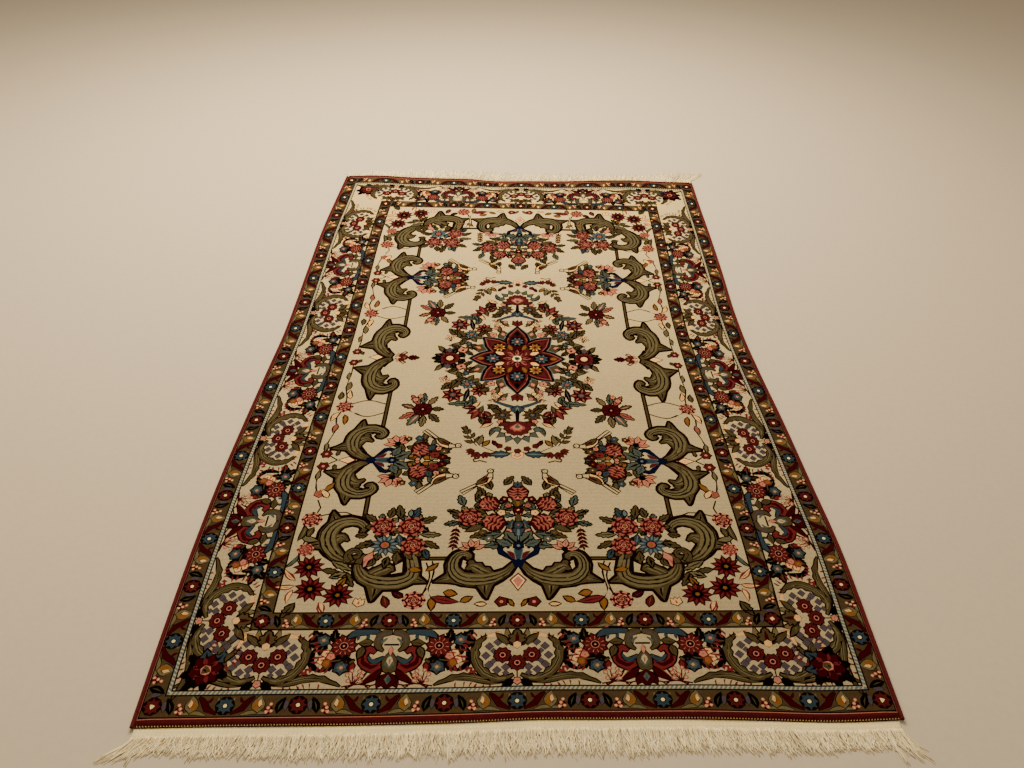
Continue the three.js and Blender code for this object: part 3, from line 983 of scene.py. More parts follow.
def border_palmette():
    """Ram's-horn scrolls over a pair of red leaves; +X outwards, the border runs along Y"""
    with rug.mirrored():
        arm = [(-50, 16), (-57, 34), (-57, 56), (-51, 74), (-43, 84)]
        rug.edged("slate", ribbon(arm, [3, 10, 13, 12, 2], 3), "ink", 2.4)
        for x, y in ((-50, 44), (-49, 62)):
            with rug.at(x, y, 30):
                rug.edged("slate", leaf(12, 6, -3, 3), "ink", 1)
        rug.line("wine", [(50, 10), (56, 30), (53, 52), (58, 82)], 3.0)
        for y, turn in ((26, 50), (40, -50), (64, 50), (76, -40)):
            with rug.at(55, y, turn):
                rug.fill("wine", leaf(10, 5, 0, 3))
        with rug.at(26, 12, 66):
            rug.edged("wine", leaf(46, 22, -10, 5), "ink", 2.4)
            rug.fill("cream", ribbon([(10, 5), (24, 4), (38, -4)], [1, 6, 1], 3))
            rug.fill("gold", ribbon([(12, 4), (24, 2), (34, -4)], [0.6, 2.4, 0.6], 2))
        with rug.at(34, 4, 34):
            rug.edged("wine", leaf(30, 15, -3, 4), "ink", 2.4)
        red = [(12, 14), (20, 32), (8, 49), (-10, 49), (-19, 39), (-12, 29)]
        rug.edged("madder", ribbon(red, [13, 18, 17, 14, 12, 6], 3, 0.16), "ink", 3)
        rug.fill("wine", ribbon([(14, 20), (19, 34), (8, 50), (-8, 50)], [2, 8, 8, 2], 3))
        rug.edged("slate", ribbon([(-2, 12), (6, 22), (6, 34), (-3, 41)], [4, 8, 8, 3], 2), "ink", 2)
        horn = [(-55, 2), (-52, 17), (-40, 26), (-24, 25), (-15, 15)]
        rug.edged("olive", ribbon(horn, [9, 13, 12, 10, 4], 3), "ink", 2.4)
        rug.fill("mauve", ribbon(horn[:4], [1, 4, 5, 1], 2))
        rug.fill("sage", ribbon([(-42, 9), (-36, 17), (-26, 17)], [3, 5, 2], 3))
        plant(((plain_leaf, -34, 36, 78, 26, 14, 3, "olive", "green"),
               (plain_leaf, -24, 52, 12, 26, 14, 3, "olive", "green"),
               (plain_leaf, 10, 66, 12, 18, 9, 2, "madder", "wine", "wine"),
               (berries, 56, 62, 180, ((10, -9), (16, 4), (22, -12), (30, -4), (20, 14), (9, 13), (29, 10)),
                5.2, "cream", "coral")))
    lotus = [-16 + 0j, -4 - 9j, 14 - 15j, 28 - 10j, 32 + 0j, 28 + 10j, 14 + 15j, -4 + 9j]
    rug.edged("olive", lotus, "ink", 1.8)
    rug.fill("sage", [-12 + 0j, -2 - 6j, 14 - 10j, 22 + 0j, 14 + 10j, -2 + 6j])
    rug.fill("cream", leaf(22, 12, 0, 4, start=-4))
    rug.fill("coral", leaf(12, 4, 0, 3, start=2))
    rug.edged("rose", leaf(20, 8, 0, 4, start=-24), "wine", 1.4)
    rug.fill("ink", [complex(-30, -14), complex(-26, -14), complex(-26, 14), complex(-30, 14)])
    rug.edged("wine", leaf(34, 32, 0, 5, start=30), "ink", 1.6)
    rug.fill("sage", leaf(20, 13, 0, 4, start=34))
    rug.fill("slate", leaf(12, 5, 0, 3, start=38))


def between_flowers():
    """The flowers on either side of a palmette"""
    with rug.mirrored():
        for x, y, turn, length in ((-6, 88, -28, 34), (-4, 84, 34, 30), (2, 84, 80, 34), (-34, 108, 176, 26),
                                   (-32, 128, 140, 34), (-34, 134, 84, 30), (-34, 126, 12, 26),
                                   (22, 74, 200, 20), (14, 104, 60, 22)):
            with rug.at(x, y, turn):
                saw_leaf(length, length * 0.6, "olive" if length == 20 else "green", "olive")
        with rug.at(-26, 89):
            rug.edged("red", lobed(25, 11, 0.3, 3), "ink", 2.6)
            for k in range(11):
                way = cmath.rect(1, 2 * pi * (k + 0.5) / 11)
                rug.fill("rose", [10 * way, (18 + 0.9j) * way, (18 - 0.9j) * way])
            rug.fill("rose", disc(8.6, 8))
            rug.fill("ink", disc(7.2, 8))
            rug.fill("rose", disc(2.4, 5))
        for x, y, r in ((-39, 129, 14), (19, 88, 15)):
            with rug.at(x, y):
                rug.edged("slate", lobed(r, 6, 0.36, 3), "ink", 3.0)
                rug.fill("sage", lobed(r * 0.66, 6, 0.34, 2, 0.5))
                rug.fill("rose", disc(r * 0.27, 6))
        for x, y, yarn in ((-10, 120, "peach"), (4, 126, "peach"), (-4, 110, "rose"), (10, 116, "gold")):
            plant(((posy, x, y, 0, 8.5, yarn, "coral", 5, "madder"),))
        plant(((plain_leaf, -50, 68, 196, 16, 8, 0, "peach", "coral", "coral"),))
        hook = [(-20, 142), (2, 146), (18, 140), (28, 122)]
        rug.edged("green", ribbon(hook, [3, 11, 10, 2], 3), "ink", 1.4)


def corner_bloom():
    """The large flower at the main border's corner, with its leaves round it"""
    plant([(saw_leaf, 0, 0, turn, length, 28, yarn, "ink") for turn, length, yarn in (
        (96, 46, "slate"), (-84, 50, "green"), (28, 42, "green"), (186, 46, "green"), (146, 44, "slate"),
        (-40, 40, "green"), (-120, 44, "green"))])
    rug.edged("wine", lobed(31, 6, 0.34, 4), "ink", 3)
    for k in range(6):
        with rug.at(0, 0, 60 * k + 30):
            rug.fill("madder", leaf(17, 10, 0, 4, start=10))
            rug.fill("ink", leaf(14, 3, 0, 3, start=9))
    rug.fill("rose", disc(10.5, 8))
    rug.fill("olive", disc(7.5, 7))
    rug.fill("ink", disc(2.5, 5))


GUARD_DRAWN_WIDE = 40


def guard_half(gap):
    """Half a repeat of a guard stripe along +X, from a red flower to a blue one"""
    wine = [(gap * 0.62, 17), (gap * 0.70, 8), (gap * 0.76, -6), (gap * 0.90, -16)]
    rug.edged("wine", ribbon(wine, [3, 10, 11, 3], 2), "ink", 1.5)
    with rug.at(gap * 0.75, 4, 50):
        rug.fill("wine", leaf(17, 8, 3, 3))
    moss = [(gap * 0.40, -17), (gap * 0.52, -13), (gap * 0.66, -14), (gap * 0.76, -18)]
    rug.edged("moss", ribbon(moss, [2, 6, 7, 2], 2), "ink", 1.2)
    with rug.at(gap * 0.535, -14, 84):
        rug.edged("moss", leaf(33, 25, 3, 4), "ink", 1.8)
        rug.fill("gold", leaf(24, 14, 2, 3, start=3 - 4j))
        rug.edged("peach", leaf(17, 7, 2, 3, start=9 + 3j), "wine", 1.2)
    rug.fill("wine", disc(9, 7, complex(gap * 0.39, -9)))
    for x, y in ((0.37, 2), (0.40, -5), (0.35, -11), (0.42, -13)):
        rug.fill("rose", disc(3.8, 6, complex(gap * x, y)))
        rug.fill("peach", disc(2.2, 5, complex(gap * x, y)))
    with rug.at(gap * 0.27, -16, 98):
        rug.edged("green", leaf(33, 15, 7, 4), "ink", 1.4)
        rug.fill("olive", leaf(20, 4, 4, 2, start=5))
    with rug.at(gap * 0.165, -11, 90):
        rug.edged("mauve", leaf(22, 9, 0, 3), "ink", 1.2)
    with rug.at(gap * 0.885, 16, -72):
        rug.fill("moss", leaf(16, 8, 2, 3))


def guard_flower(r, petal):
    """An eight-petalled guard flower"""
    rug.fill("ink", disc(r + 2, 10))
    rug.fill(petal, lobed(r, 8, 0.45, 3))
    rug.fill("ink", disc(r * 0.36, 6))
    rug.fill("ivory", disc(r * 0.24, 6))


def guard_stripe(start, end, halves, wide, turned):
    """A run of the guard's repeat between two points, scaled to the stripe's width"""
    way = (end - start) / abs(end - start)
    size = wide / GUARD_DRAWN_WIDE
    gap = abs(end - start) / halves
    places = [start + way * gap * k for k in range(halves + 1)]
    flip = [lambda p: p.conjugate()] if turned else [lambda p: p]
    for k, corner in enumerate(places[:-1]):
        frame = (lambda p: corner + p * way * size) if k % 2 == 0 else (
            lambda p: corner + way * gap - p.conjugate() * way * size)
        with rug.copies([frame]), rug.copies(flip):
            guard_half(gap / size)
    for k, corner in enumerate(places):
        with rug.copies([lambda p: corner + p * way * size]):
            guard_flower(17, "slate" if k % 2 else "red")


def draw_guards():
    """The two guard stripes with the rope between the outer one and the main border"""
    outer_x = (ACROSS["rope"] + ACROSS["guard"]) / 2
    outer_y = (ALONG["rope"] + ALONG["guard"]) / 2
    inner_x = (ACROSS["field"] + ACROSS["inner"]) / 2
    inner_y = (ALONG["field"] + ALONG["inner"]) / 2
    for x, y, wide, across, along in ((outer_x, outer_y, 38, 10, 16), (inner_x, inner_y, 36, 8, 14)):
        for side in (-1, 1):
            guard_stripe(complex(-x, side * y), complex(x, side * y), across, wide, side > 0)
            guard_stripe(complex(side * x, -y), complex(side * x, y), along, wide, side < 0)


ROPE_PITCH = 8.0


def draw_rope():
    """The rope stripe: cream slanting strands on a grey-blue ground"""
    corners = rectangle((ACROSS["main"] + ACROSS["rope"]) / 2, (ALONG["main"] + ALONG["rope"]) / 2)
    for start, end in zip(corners, corners[1:] + corners[:1]):
        way = (end - start) / abs(end - start)
        count = int(abs(end - start) / ROPE_PITCH)
        for k in range(count):
            middle = start + way * abs(end - start) * (k + 0.5) / count
            rug.fill("cream", [middle + p * way for p in (-3.6 - 2.8j, 0.2 - 2.8j, 3.6 + 2.8j, -0.2 + 2.8j)])


# Places of the main border's motifs along an end and along a side
END_WREATHS = (-470, 0, 470)
END_PALMETTES = (-235, 235)
SIDE_WREATHS = (-868, -329, 208, 728)
SIDE_PALMETTES = (-600, -62, 470)


def draw_main_border():
    """The wreaths and palmettes of the main border, slightly narrower and longer along the sides"""
    mid_y = (ALONG["inner"] + ALONG["main"]) / 2
    mid_x = (ACROSS["inner"] + ACROSS["main"]) / 2
    narrow, long = 0.93, 1.08
    for side in (-1, 1):
        at_end = lambda p: complex(x, side * mid_y) + p * 1j * side
        at_side = lambda p: complex(side * mid_x, y) + complex(p.real * narrow, p.imag * long) * side
        for places, motif in ((END_PALMETTES, between_flowers), (END_PALMETTES, border_palmette),
                              (END_WREATHS, wreath)):
            for x in places:
                with rug.copies([at_end]):
                    motif()
        for places, motif in ((SIDE_PALMETTES, between_flowers), (SIDE_PALMETTES, border_palmette),
                              (SIDE_WREATHS, wreath)):
            for y in places:
                with rug.copies([at_side]):
                    motif()
        for end in (-1, 1):
            with rug.at(side * (mid_x + 6), end * (mid_y + 22), 45 * side):
                corner_bloom()


def band(yarn, outer, inner, inset=0.0, inner_inset=0.0):
    """A plain band all round, between two of the design's lines, each moved inwards by its inset"""
    x1, y1 = ACROSS[outer] - inset, ALONG[outer] - inset
    x0, y0 = ACROSS[inner] - inner_inset, ALONG[inner] - inner_inset
    for side in (-1, 1):
        rug.fill(yarn, [complex(x, side * y) for x, y in ((-x1, y1), (x1, y1), (x0, y0), (-x0, y0))])
        rug.fill(yarn, [complex(side * x, y) for x, y in ((x1, -y1), (x1, y1), (x0, y0), (x0, -y0))])


# The pale points of cotton that show between the last knots of an end
TUFT_PITCH = 5.2


def draw_lines():
    """The dark and light lines between the bands, and the plain red at the ends"""
    for line, rim in (("main", 2.6), ("rope", 2.6), ("inner", 3.0), ("field", 3.4)):
        band("ink", line, line, -rim / 2, rim / 2)
    band("ink", "line", "line", 2.0, 4.6)
    band("rose", "line", "line", 0.4, 2.0)
    for side in (-1, 1):
        rug.fill("red", [complex(x, side * y) for x, y in (
            (-HALF_WIDTH, ALONG["line"]), (HALF_WIDTH, ALONG["line"]),
            (HALF_WIDTH, HALF_LENGTH), (-HALF_WIDTH, HALF_LENGTH))])
        for k in range(int(2 * HALF_WIDTH / TUFT_PITCH)):
            x = -HALF_WIDTH + TUFT_PITCH * (k + 0.5)
            rug.fill("ivory", [complex(x + across, side * (HALF_LENGTH - back))
                               for across, back in ((-1.6, 0), (1.6, 0), (0, 2.6))])


def draw_rug():
    """The whole design, from its ground up"""
    rug.fill("red", rectangle(HALF_WIDTH, HALF_LENGTH))
    band("earth", "guard", "rope")
    band("earth", "inner", "field")
    draw_guards()
    band("cream", "main", "inner")
    draw_main_border()
    draw_field()
    band("sky", "rope", "main")
    draw_rope()
    draw_lines()


# How the straight design sits on the real cloth: its field is shifted, stretched and drifts along the rug
MIDDLE_Y = -48.0
STRETCH = 0.99706
DRIFT = 5.605e-5
END_SHIFT = 240.0
BAND_LINES = ((-1085, -1085 + FRONT_TUCK), (-1066, -1066), (-1023, -1023), (-1015, -1015), (-890, -893),
              (850, 840), (890, 883), (1015, 1012), (1023, 1022), (1066, 1066), (1085, 1085))
PILE_ROUNDING = 5.0
PILE_DROP = 3.4
LINE_SLACK = 1.3
LONGEST_SPAN = 40.0
STRAIGHTENING_ROUNDS = 4
LONGEST_EDGE = 25.0
POINT_MERGE = 1e-3


def design_to_cloth(u, v):
    """Where points of the straight design come to lie on the cloth, in millimetres"""
    field = ALONG["field"]
    lines = np.array([line for line in BAND_LINES if line[0] < 0]
                     + [(b, MIDDLE_Y + STRETCH * b + DRIFT * b * b) for b in np.linspace(-field, field, 35)]
                     + [line for line in BAND_LINES if line[0] > field], float)
    y = np.interp(v, lines[:, 0], lines[:, 1])
    left, right, middle = (column(SIDES, k, y) for k in (1, 2, 3))
    t = u / HALF_WIDTH
    x = middle + (right - left) / 2 * t + ((left + right) / 2 - middle) * t * t
    near_front = np.clip(1 - (y + HALF_LENGTH) / END_SHIFT, 0, 1) ** 2
    near_back = np.clip(1 - (HALF_LENGTH - y) / END_SHIFT, 0, 1) ** 2
    y = y + near_front * (column(ENDS, 1, x) + HALF_LENGTH) + near_back * (column(ENDS, 2, x) - HALF_LENGTH)
    return x, y


def lift(x, y):
    """How far the cloth stands off the floor near its rippled back edge"""
    near = np.clip((column(ENDS, 2, x) - y) / LIFT_FADE, 0, 1)
    return column(ENDS, 3, x).clip(0) * (1 - near * near * (3 - 2 * near))


def top_wave(x, y):
    """The slight waves of the pile's top"""
    return 0.5 * np.sin(2 * pi * x / 310 + y / 430) * np.sin(2 * pi * y / 430 + x / 310)


def pile_height(u, v):
    """The pile's depth over the underside, rounded off towards the cloth's four edges"""
    inside = np.minimum(HALF_LENGTH - np.abs(v), PILE_HALF_WIDTH - np.abs(u))
    near = inside.clip(0, PILE_ROUNDING) / PILE_ROUNDING
    return CLOTH_THICKNESS - PILE_DROP * (1 - near) ** 2


def yarn_over(points):
    """The yarn of the topmost shape over each point, as an index of YARNS, by a winding count"""
    order = np.argsort(points[:, 1])
    px, py = points[order, 0], points[order, 1]
    found = np.zeros(len(points), int)
    names = list(YARNS)
    for yarn, outline in rug.shapes:
        x = np.array([p.real for p in outline])
        y = np.array([p.imag for p in outline])
        low, high = np.searchsorted(py, (y.min(), y.max()))
        near = low + np.flatnonzero((px[low:high] >= x.min()) & (px[low:high] <= x.max()))
        if len(near) == 0:
            continue
        x2, y2 = np.roll(x, -1), np.roll(y, -1)
        qx, qy = px[near][:, None], py[near][:, None]
        turn = (x2 - x) * (qy - y) - (qx - x) * (y2 - y)
        wind = ((y <= qy) & (y2 > qy) & (turn > 0)).sum(1) - ((y > qy) & (y2 <= qy) & (turn < 0)).sum(1)
        found[near[wind != 0]] = names.index(yarn)
    yarns = np.zeros(len(points), int)
    yarns[order] = found
    return yarns


def triangulate(points, edges):
    """Triangles over flat points that keep the given edges, as arrays of places and of corners"""
    places, _, faces, *_ = delaunay_2d_cdt([Vector(p) for p in points], edges, [], 0, POINT_MERGE, False)
    return np.array([p[:] for p in places]), np.array(faces)


def inner_net(columns, rows):
    """Points spread evenly over the cloth, without those on its edges"""
    return [(u, v) for u in np.linspace(-PILE_HALF_WIDTH, PILE_HALF_WIDTH, columns)[1:-1]
            for v in np.linspace(-HALF_LENGTH, HALF_LENGTH, rows)[1:-1]]


def cloth_net():
    """Points round the cloth's rim and spread over it, in the straight design's millimetres"""
    net = []
    for inset in (0.0, 1.5, 4.5):
        half_u, half_v = PILE_HALF_WIDTH - inset, HALF_LENGTH - inset
        for u in np.linspace(-half_u, half_u, 61):
            net += [(u, -half_v), (u, half_v)]
        for v in np.linspace(-half_v, half_v, 97)[1:-1]:
            net += [(-half_u, v), (half_u, v)]
    return net + inner_net(32, 51)


def sides_of(faces):
    """The three sides of each triangle as pairs of points"""
    return np.concatenate([faces[:, [0, 1]], faces[:, [1, 2]], faces[:, [2, 0]]])


def colour_edges(points, faces, yarns):
    """The sides of triangles where two yarns meet, with the points they use"""
    sides = np.sort(sides_of(faces), axis=1)
    owner = np.tile(yarns, 3)
    order = np.lexsort((sides[:, 1], sides[:, 0]))
    sides, owner = sides[order], owner[order]
    shared = np.flatnonzero((sides[1:] == sides[:-1]).all(1))
    kept = sides[shared[owner[shared] != owner[shared + 1]]]
    used, numbered = np.unique(kept, return_inverse=True)
    return points[used].tolist(), numbered.reshape(-1, 2).tolist()


def straightened(points, edges, slack):
    """Lines between yarns without the points that lie within a slack of a straight run"""
    beside = [[] for _ in points]
    for a, b in edges:
        beside[a].append(b)
        beside[b].append(a)
    place = [complex(*p) for p in points]
    gone = set()
    for k in range(len(place)):
        if len(beside[k]) != 2:
            continue
        a, b = beside[k]
        if a in gone or b in gone or b in beside[a]:
            continue
        span = place[b] - place[a]
        off = abs(((place[k] - place[a]) * span.conjugate()).imag) / max(abs(span), 1e-9)
        if off < slack and abs(span) < LONGEST_SPAN:
            gone.add(k)
            beside[a][beside[a].index(k)] = b
            beside[b][beside[b].index(k)] = a
    left = [k for k in range(len(place)) if k not in gone]
    number = {k: i for i, k in enumerate(left)}
    lines = {tuple(sorted((number[k], number[j]))) for k in left for j in beside[k]}
    return [tuple(points[k]) for k in left], sorted(lines)


def divided(points, edges):
    """Long lines between yarns cut into shorter ones, so that they bend with the cloth"""
    points, short = list(points), []
    for a, b in edges:
        start, span = np.array(points[a]), np.array(points[b]) - np.array(points[a])
        parts = int(np.hypot(*span) / LONGEST_EDGE) + 1
        chain = [a]
        for k in range(1, parts):
            chain.append(len(points))
            points.append(tuple(start + span * k / parts))
        chain.append(b)
        short += list(zip(chain, chain[1:]))
    return points, short


def pattern_mesh():
    """The pile's surface cut along the outlines of its pattern: points, triangles and their yarns"""
    points, edges = [], []
    for _, outline in rug.shapes:
        first = len(points)
        points += [(min(max(p.real, -PILE_HALF_WIDTH), PILE_HALF_WIDTH),
                    min(max(p.imag, -HALF_LENGTH), HALF_LENGTH)) for p in outline]
        edges += [(first + k, first + (k + 1) % len(outline)) for k in range(len(outline))]
    points, faces = triangulate(points, edges)
    points, edges = colour_edges(points, faces, yarn_over(points[faces].mean(1)))
    for _ in range(STRAIGHTENING_ROUNDS):
        points, edges = straightened(points, edges, LINE_SLACK)
    points, edges = divided(points, edges)
    points, faces = triangulate(points + cloth_net(), edges)
    return points, faces, yarn_over(points[faces].mean(1))


def pile_cloth():
    """The knotted cloth: a closed sheet whose top is cut along the pattern, with a plain underside"""
    points, faces, yarns = pattern_mesh()
    u, v = points[:, 0], points[:, 1]
    x, y = design_to_cloth(u, v)
    top = np.stack([x, y, lift(x, y) + pile_height(u, v) + top_wave(x, y)], 1)

    there = {(a, b) for a, b in sides_of(faces).tolist()}
    rim = [(a, b) for a, b in there if (b, a) not in there]
    rim_points = sorted({a for a, _ in rim})
    below = {a: k for k, a in enumerate(rim_points)}
    flat = [(u[a], v[a]) for a in rim_points] + inner_net(16, 26)
    flat_points, flat_faces = triangulate(flat, [(below[a], below[b]) for a, b in rim])
    bottom_x, bottom_y = design_to_cloth(flat_points[:, 0], flat_points[:, 1])
    bottom = np.stack([bottom_x, bottom_y, lift(bottom_x, bottom_y)], 1)

    first = len(top)
    corners = faces.tolist()
    corners += [[first + c, first + b, first + a] for a, b, c in flat_faces.tolist()]
    corners += [[b, a, first + below[a], first + below[b]] for a, b in rim]
    palette = np.array([linear(code) for code in YARNS.values()])
    dyes = np.concatenate([np.repeat(palette[yarns], 3, 0),
                           np.tile(linear(YARNS["moss"]), (3 * len(flat_faces), 1)),
                           np.tile(linear(YARNS["red"]), (4 * len(rim), 1))])
    mesh = bpy.data.meshes.new("rug_pile")
    mesh.from_pydata(np.concatenate([top, bottom]) * MM, [], corners)
    mesh.color_attributes.new("yarn", "FLOAT_COLOR", "CORNER").data.foreach_set("color", dyes.ravel())
    return finished("rug_pile", mesh, knotted_wool(), "wool_pile", "pile_cloth")


def placed(name, data):
    """An object with its data, linked into the scene"""
    made = bpy.data.objects.new(name, data)
    bpy.context.scene.collection.objects.link(made)
    return made


def finished(name, mesh, material, slot, *nodes):
    """A mesh as a finished piece of the rug: smooth, on the root body, in place of its solids"""
    mesh.polygons.foreach_set("use_smooth", [True] * len(mesh.polygons))
    mesh.materials.append(material)
    mesh.validate()
    piece = placed(name, mesh)
    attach(piece, "root")
    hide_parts(*nodes)
    return piece


def turned_outwards(built, mesh):
    """A mesh filled from a closed form with its faces turned outwards"""
    bmesh.ops.recalc_face_normals(built, faces=built.faces)
    built.to_mesh(mesh)
    built.free()
    return mesh


def tubes_mesh(name, paths, sides):
    """Closed round strands along paths of (place, half width, half height) in millimetres"""
    places, corners = [], []
    for path in paths:
        middle = np.array([p for p, _, _ in path])
        ahead = np.gradient(middle, axis=0)
        ahead /= np.linalg.norm(ahead, axis=1)[:, None]
        across = np.stack([ahead[:, 1], -ahead[:, 0], np.zeros(len(ahead))], 1)
        across /= np.linalg.norm(across, axis=1)[:, None]
        up = np.cross(across, ahead)
        first = len(places)
        for k, (p, half_width, half_height) in enumerate(path):
            for j in range(sides):
                t = 2 * pi * j / sides
                places.append(p + across[k] * half_width * cos(t) + up[k] * half_height * sin(t))
        for k in range(len(path) - 1):
            for j in range(sides):
                a, b = first + k * sides + j, first + k * sides + (j + 1) % sides
                corners.append([a, b, b + sides, a + sides])
        last = first + (len(path) - 1) * sides
        corners.append([first + j for j in reversed(range(sides))])
        corners.append([last + j for j in range(sides)])
    mesh = bpy.data.meshes.new(name)
    mesh.from_pydata(np.array(places) * MM, [], corners)
    built = bmesh.new()
    built.from_mesh(mesh)
    return turned_outwards(built, mesh)


# The overcast side cords: one turn of wool, and how deep the groove between turns is
OVERCAST_PITCH = 3.0
OVERCAST_GROOVE = 0.4
SELVEDGE_HEIGHT = 8.4
SELVEDGE_LIFT = 0.13


def selvedge(side):
    """A side cord wrapped closely in wool, with a ridge for each turn"""
    start, length = FRONT_TUCK - HALF_LENGTH + 0.4, 2 * HALF_LENGTH - FRONT_TUCK - 0.8
    turns = int(length / OVERCAST_PITCH)
    loose = random.Random(20 + side)
    path = []
    for k in range(2 * turns + 1):
        y = start + length * k / (2 * turns)
        outer = float(column(SIDES, 2 if side > 0 else 1, y))
        x = outer - side * SELVEDGE_WIDTH / 2
        groove = OVERCAST_GROOVE if k % 2 == 0 else loose.uniform(-0.12, 0.12)
        raised = float(lift(x, y))
        path.append((np.array([x, y, raised + SELVEDGE_HEIGHT / 2 + SELVEDGE_LIFT]),
                     SELVEDGE_WIDTH / 2 - groove, SELVEDGE_HEIGHT / 2 - groove))
    hand = "left" if side < 0 else "right"
    name = "side_cord_" + hand
    mesh = tubes_mesh(name, [path], 12)
    return finished(name, mesh, overcast_wool(), "red_overcasting", "selvedge_" + hand)


# The fringe: locks read along each end as x, reach beyond the web, lean to the right
FRONT_LOCKS = ((-672, 44, -46), (-640, 34, -22), (-540, 35, -10), (-370, 44, -5), (-210, 43, 1), (-40, 45, 5),
               (125, 47, 4), (300, 43, 9), (470, 42, 13), (600, 36, 10), (655, 44, 16), (674, 62, 40))
BACK_LOCKS = ((-672, 34, -10), (-480, 66, -4), (-290, 84, 8), (-150, 76, 22), (0, 76, 16), (150, 70, 20),
              (310, 64, 14), (480, 78, 20), (620, 94, 34), (674, 76, 58))
LOCK_PITCH = 9.6
# Single strands that lie away from the locks: x at the web, x at the tip, reach
FRONT_STRAYS = ((-668, -706, 45), (-650, -664, 58), (640, 658, 70), (643, 656, 66), (668, 703, 63),
                (660, 686, 69))
BACK_STRAYS = ((-668, -690, 40), (655, 726, 100), (660, 732, 92), (664, 722, 84), (-300, -322, 96),
               (120, 158, 92))
END_NAMES = {-1: "front", 1: "back"}
# The web's section: share of its width out from the pile, height
WEB_PROFILE = ((0.0, 1.0), (0.07, 2.5), (0.28, 3.0), (0.5, 2.7), (0.76, 3.0), (0.93, 2.3), (1.0, 1.1))
# Layers of strands from the floor up: how many, how high they rise, how far they sway, the longest reach
STRAND_LAYERS = ((760, 0.4, 2.0, 1.06), (620, 2.0, 3.4, 1.0), (420, 3.6, 4.6, 0.94))
STRAND_LIFT = 0.3


def end_point(x, end, out):
    """A place beyond an end of the knotted cloth, out millimetres past its edge"""
    return end * (end * float(column(ENDS, 2 if end > 0 else 1, x)) + out)


def web(end):
    """The flat-woven cotton web at an end of the rug"""
    across = np.linspace(-HALF_WIDTH + 5, HALF_WIDTH - 5, 271)
    tuck = FRONT_TUCK if end < 0 else 0.0
    section = [(0.4 + share * (WEB_WIDTH - 0.4) - (1 - share) * tuck, height)
               for share, height in WEB_PROFILE]
    built = bmesh.new()
    layers = []
    for high in (True, False):
        for out, height in section:
            line = []
            for k, x in enumerate(across):
                ripple = 0.35 * sin(k * 1.9) * sin(k * 0.37 + out)
                raised = float(lift(x, HALF_LENGTH)) if end > 0 else 0.0
                base = raised * (1 - out / WEB_WIDTH)
                z = base + (height + ripple * (0.5 if out < 2 else 1) if high else 0.1)
                y = end_point(x, end, out + (0.5 * sin(k * 0.81) if out > 12 else 0.0))
                line.append(built.verts.new((x * MM, y * MM, max(z, 0.1) * MM)))
            layers.append(line)
    count = len(section)
    beside = [(first + k, first + k + 1) for first in (0, count) for k in range(count - 1)]
    for a, b in beside + [(0, count), (count - 1, 2 * count - 1)]:
        for k in range(len(across) - 1):
            built.faces.new((layers[a][k], layers[a][k + 1], layers[b][k + 1], layers[b][k]))
    for k in (0, -1):
        for row in range(count - 1):
            built.faces.new([layers[j][k] for j in (row, row + 1, count + row + 1, count + row)])
    name = "web_" + END_NAMES[end]
    mesh = turned_outwards(built, bpy.data.meshes.new(name))
    return finished(name, mesh, cotton_web(), "cream_cotton", "fringe_" + END_NAMES[end])


def strand(loose, x, end, tip, half, rise, curl):
    """One warp end: leaves the web, sags to the floor and lies there in a slight wave"""
    start_y = end_point(x, end, WEB_WIDTH - loose.uniform(1.5, 5.5))
    phase, wave = loose.uniform(0, 2 * pi), loose.uniform(0.6, 1.4)
    steps = 8
    raised = float(lift(x, HALF_LENGTH)) * 0.3 if end > 0 else 0.0
    path = []
    for k in range(steps):
        t = k / (steps - 1)
        sway = curl * t * sin(phase + 2 * pi * wave * t)
        place_x = x + (tip[0] - x) * t ** 1.5 + sway
        place_y = start_y + (tip[1] - start_y) * t
        loose_wave = 0.8 * t * (1 - t) * abs(sin(phase * 3 + 5 * t))
        height = half + STRAND_LIFT + (rise + raised) * (1 - t) ** 0.8 + loose_wave
        thin = half * (1 - 0.45 * max(t - 0.7, 0) / 0.3)
        path.append((np.array([place_x, place_y, height]), thin, thin * 0.85))
    return path


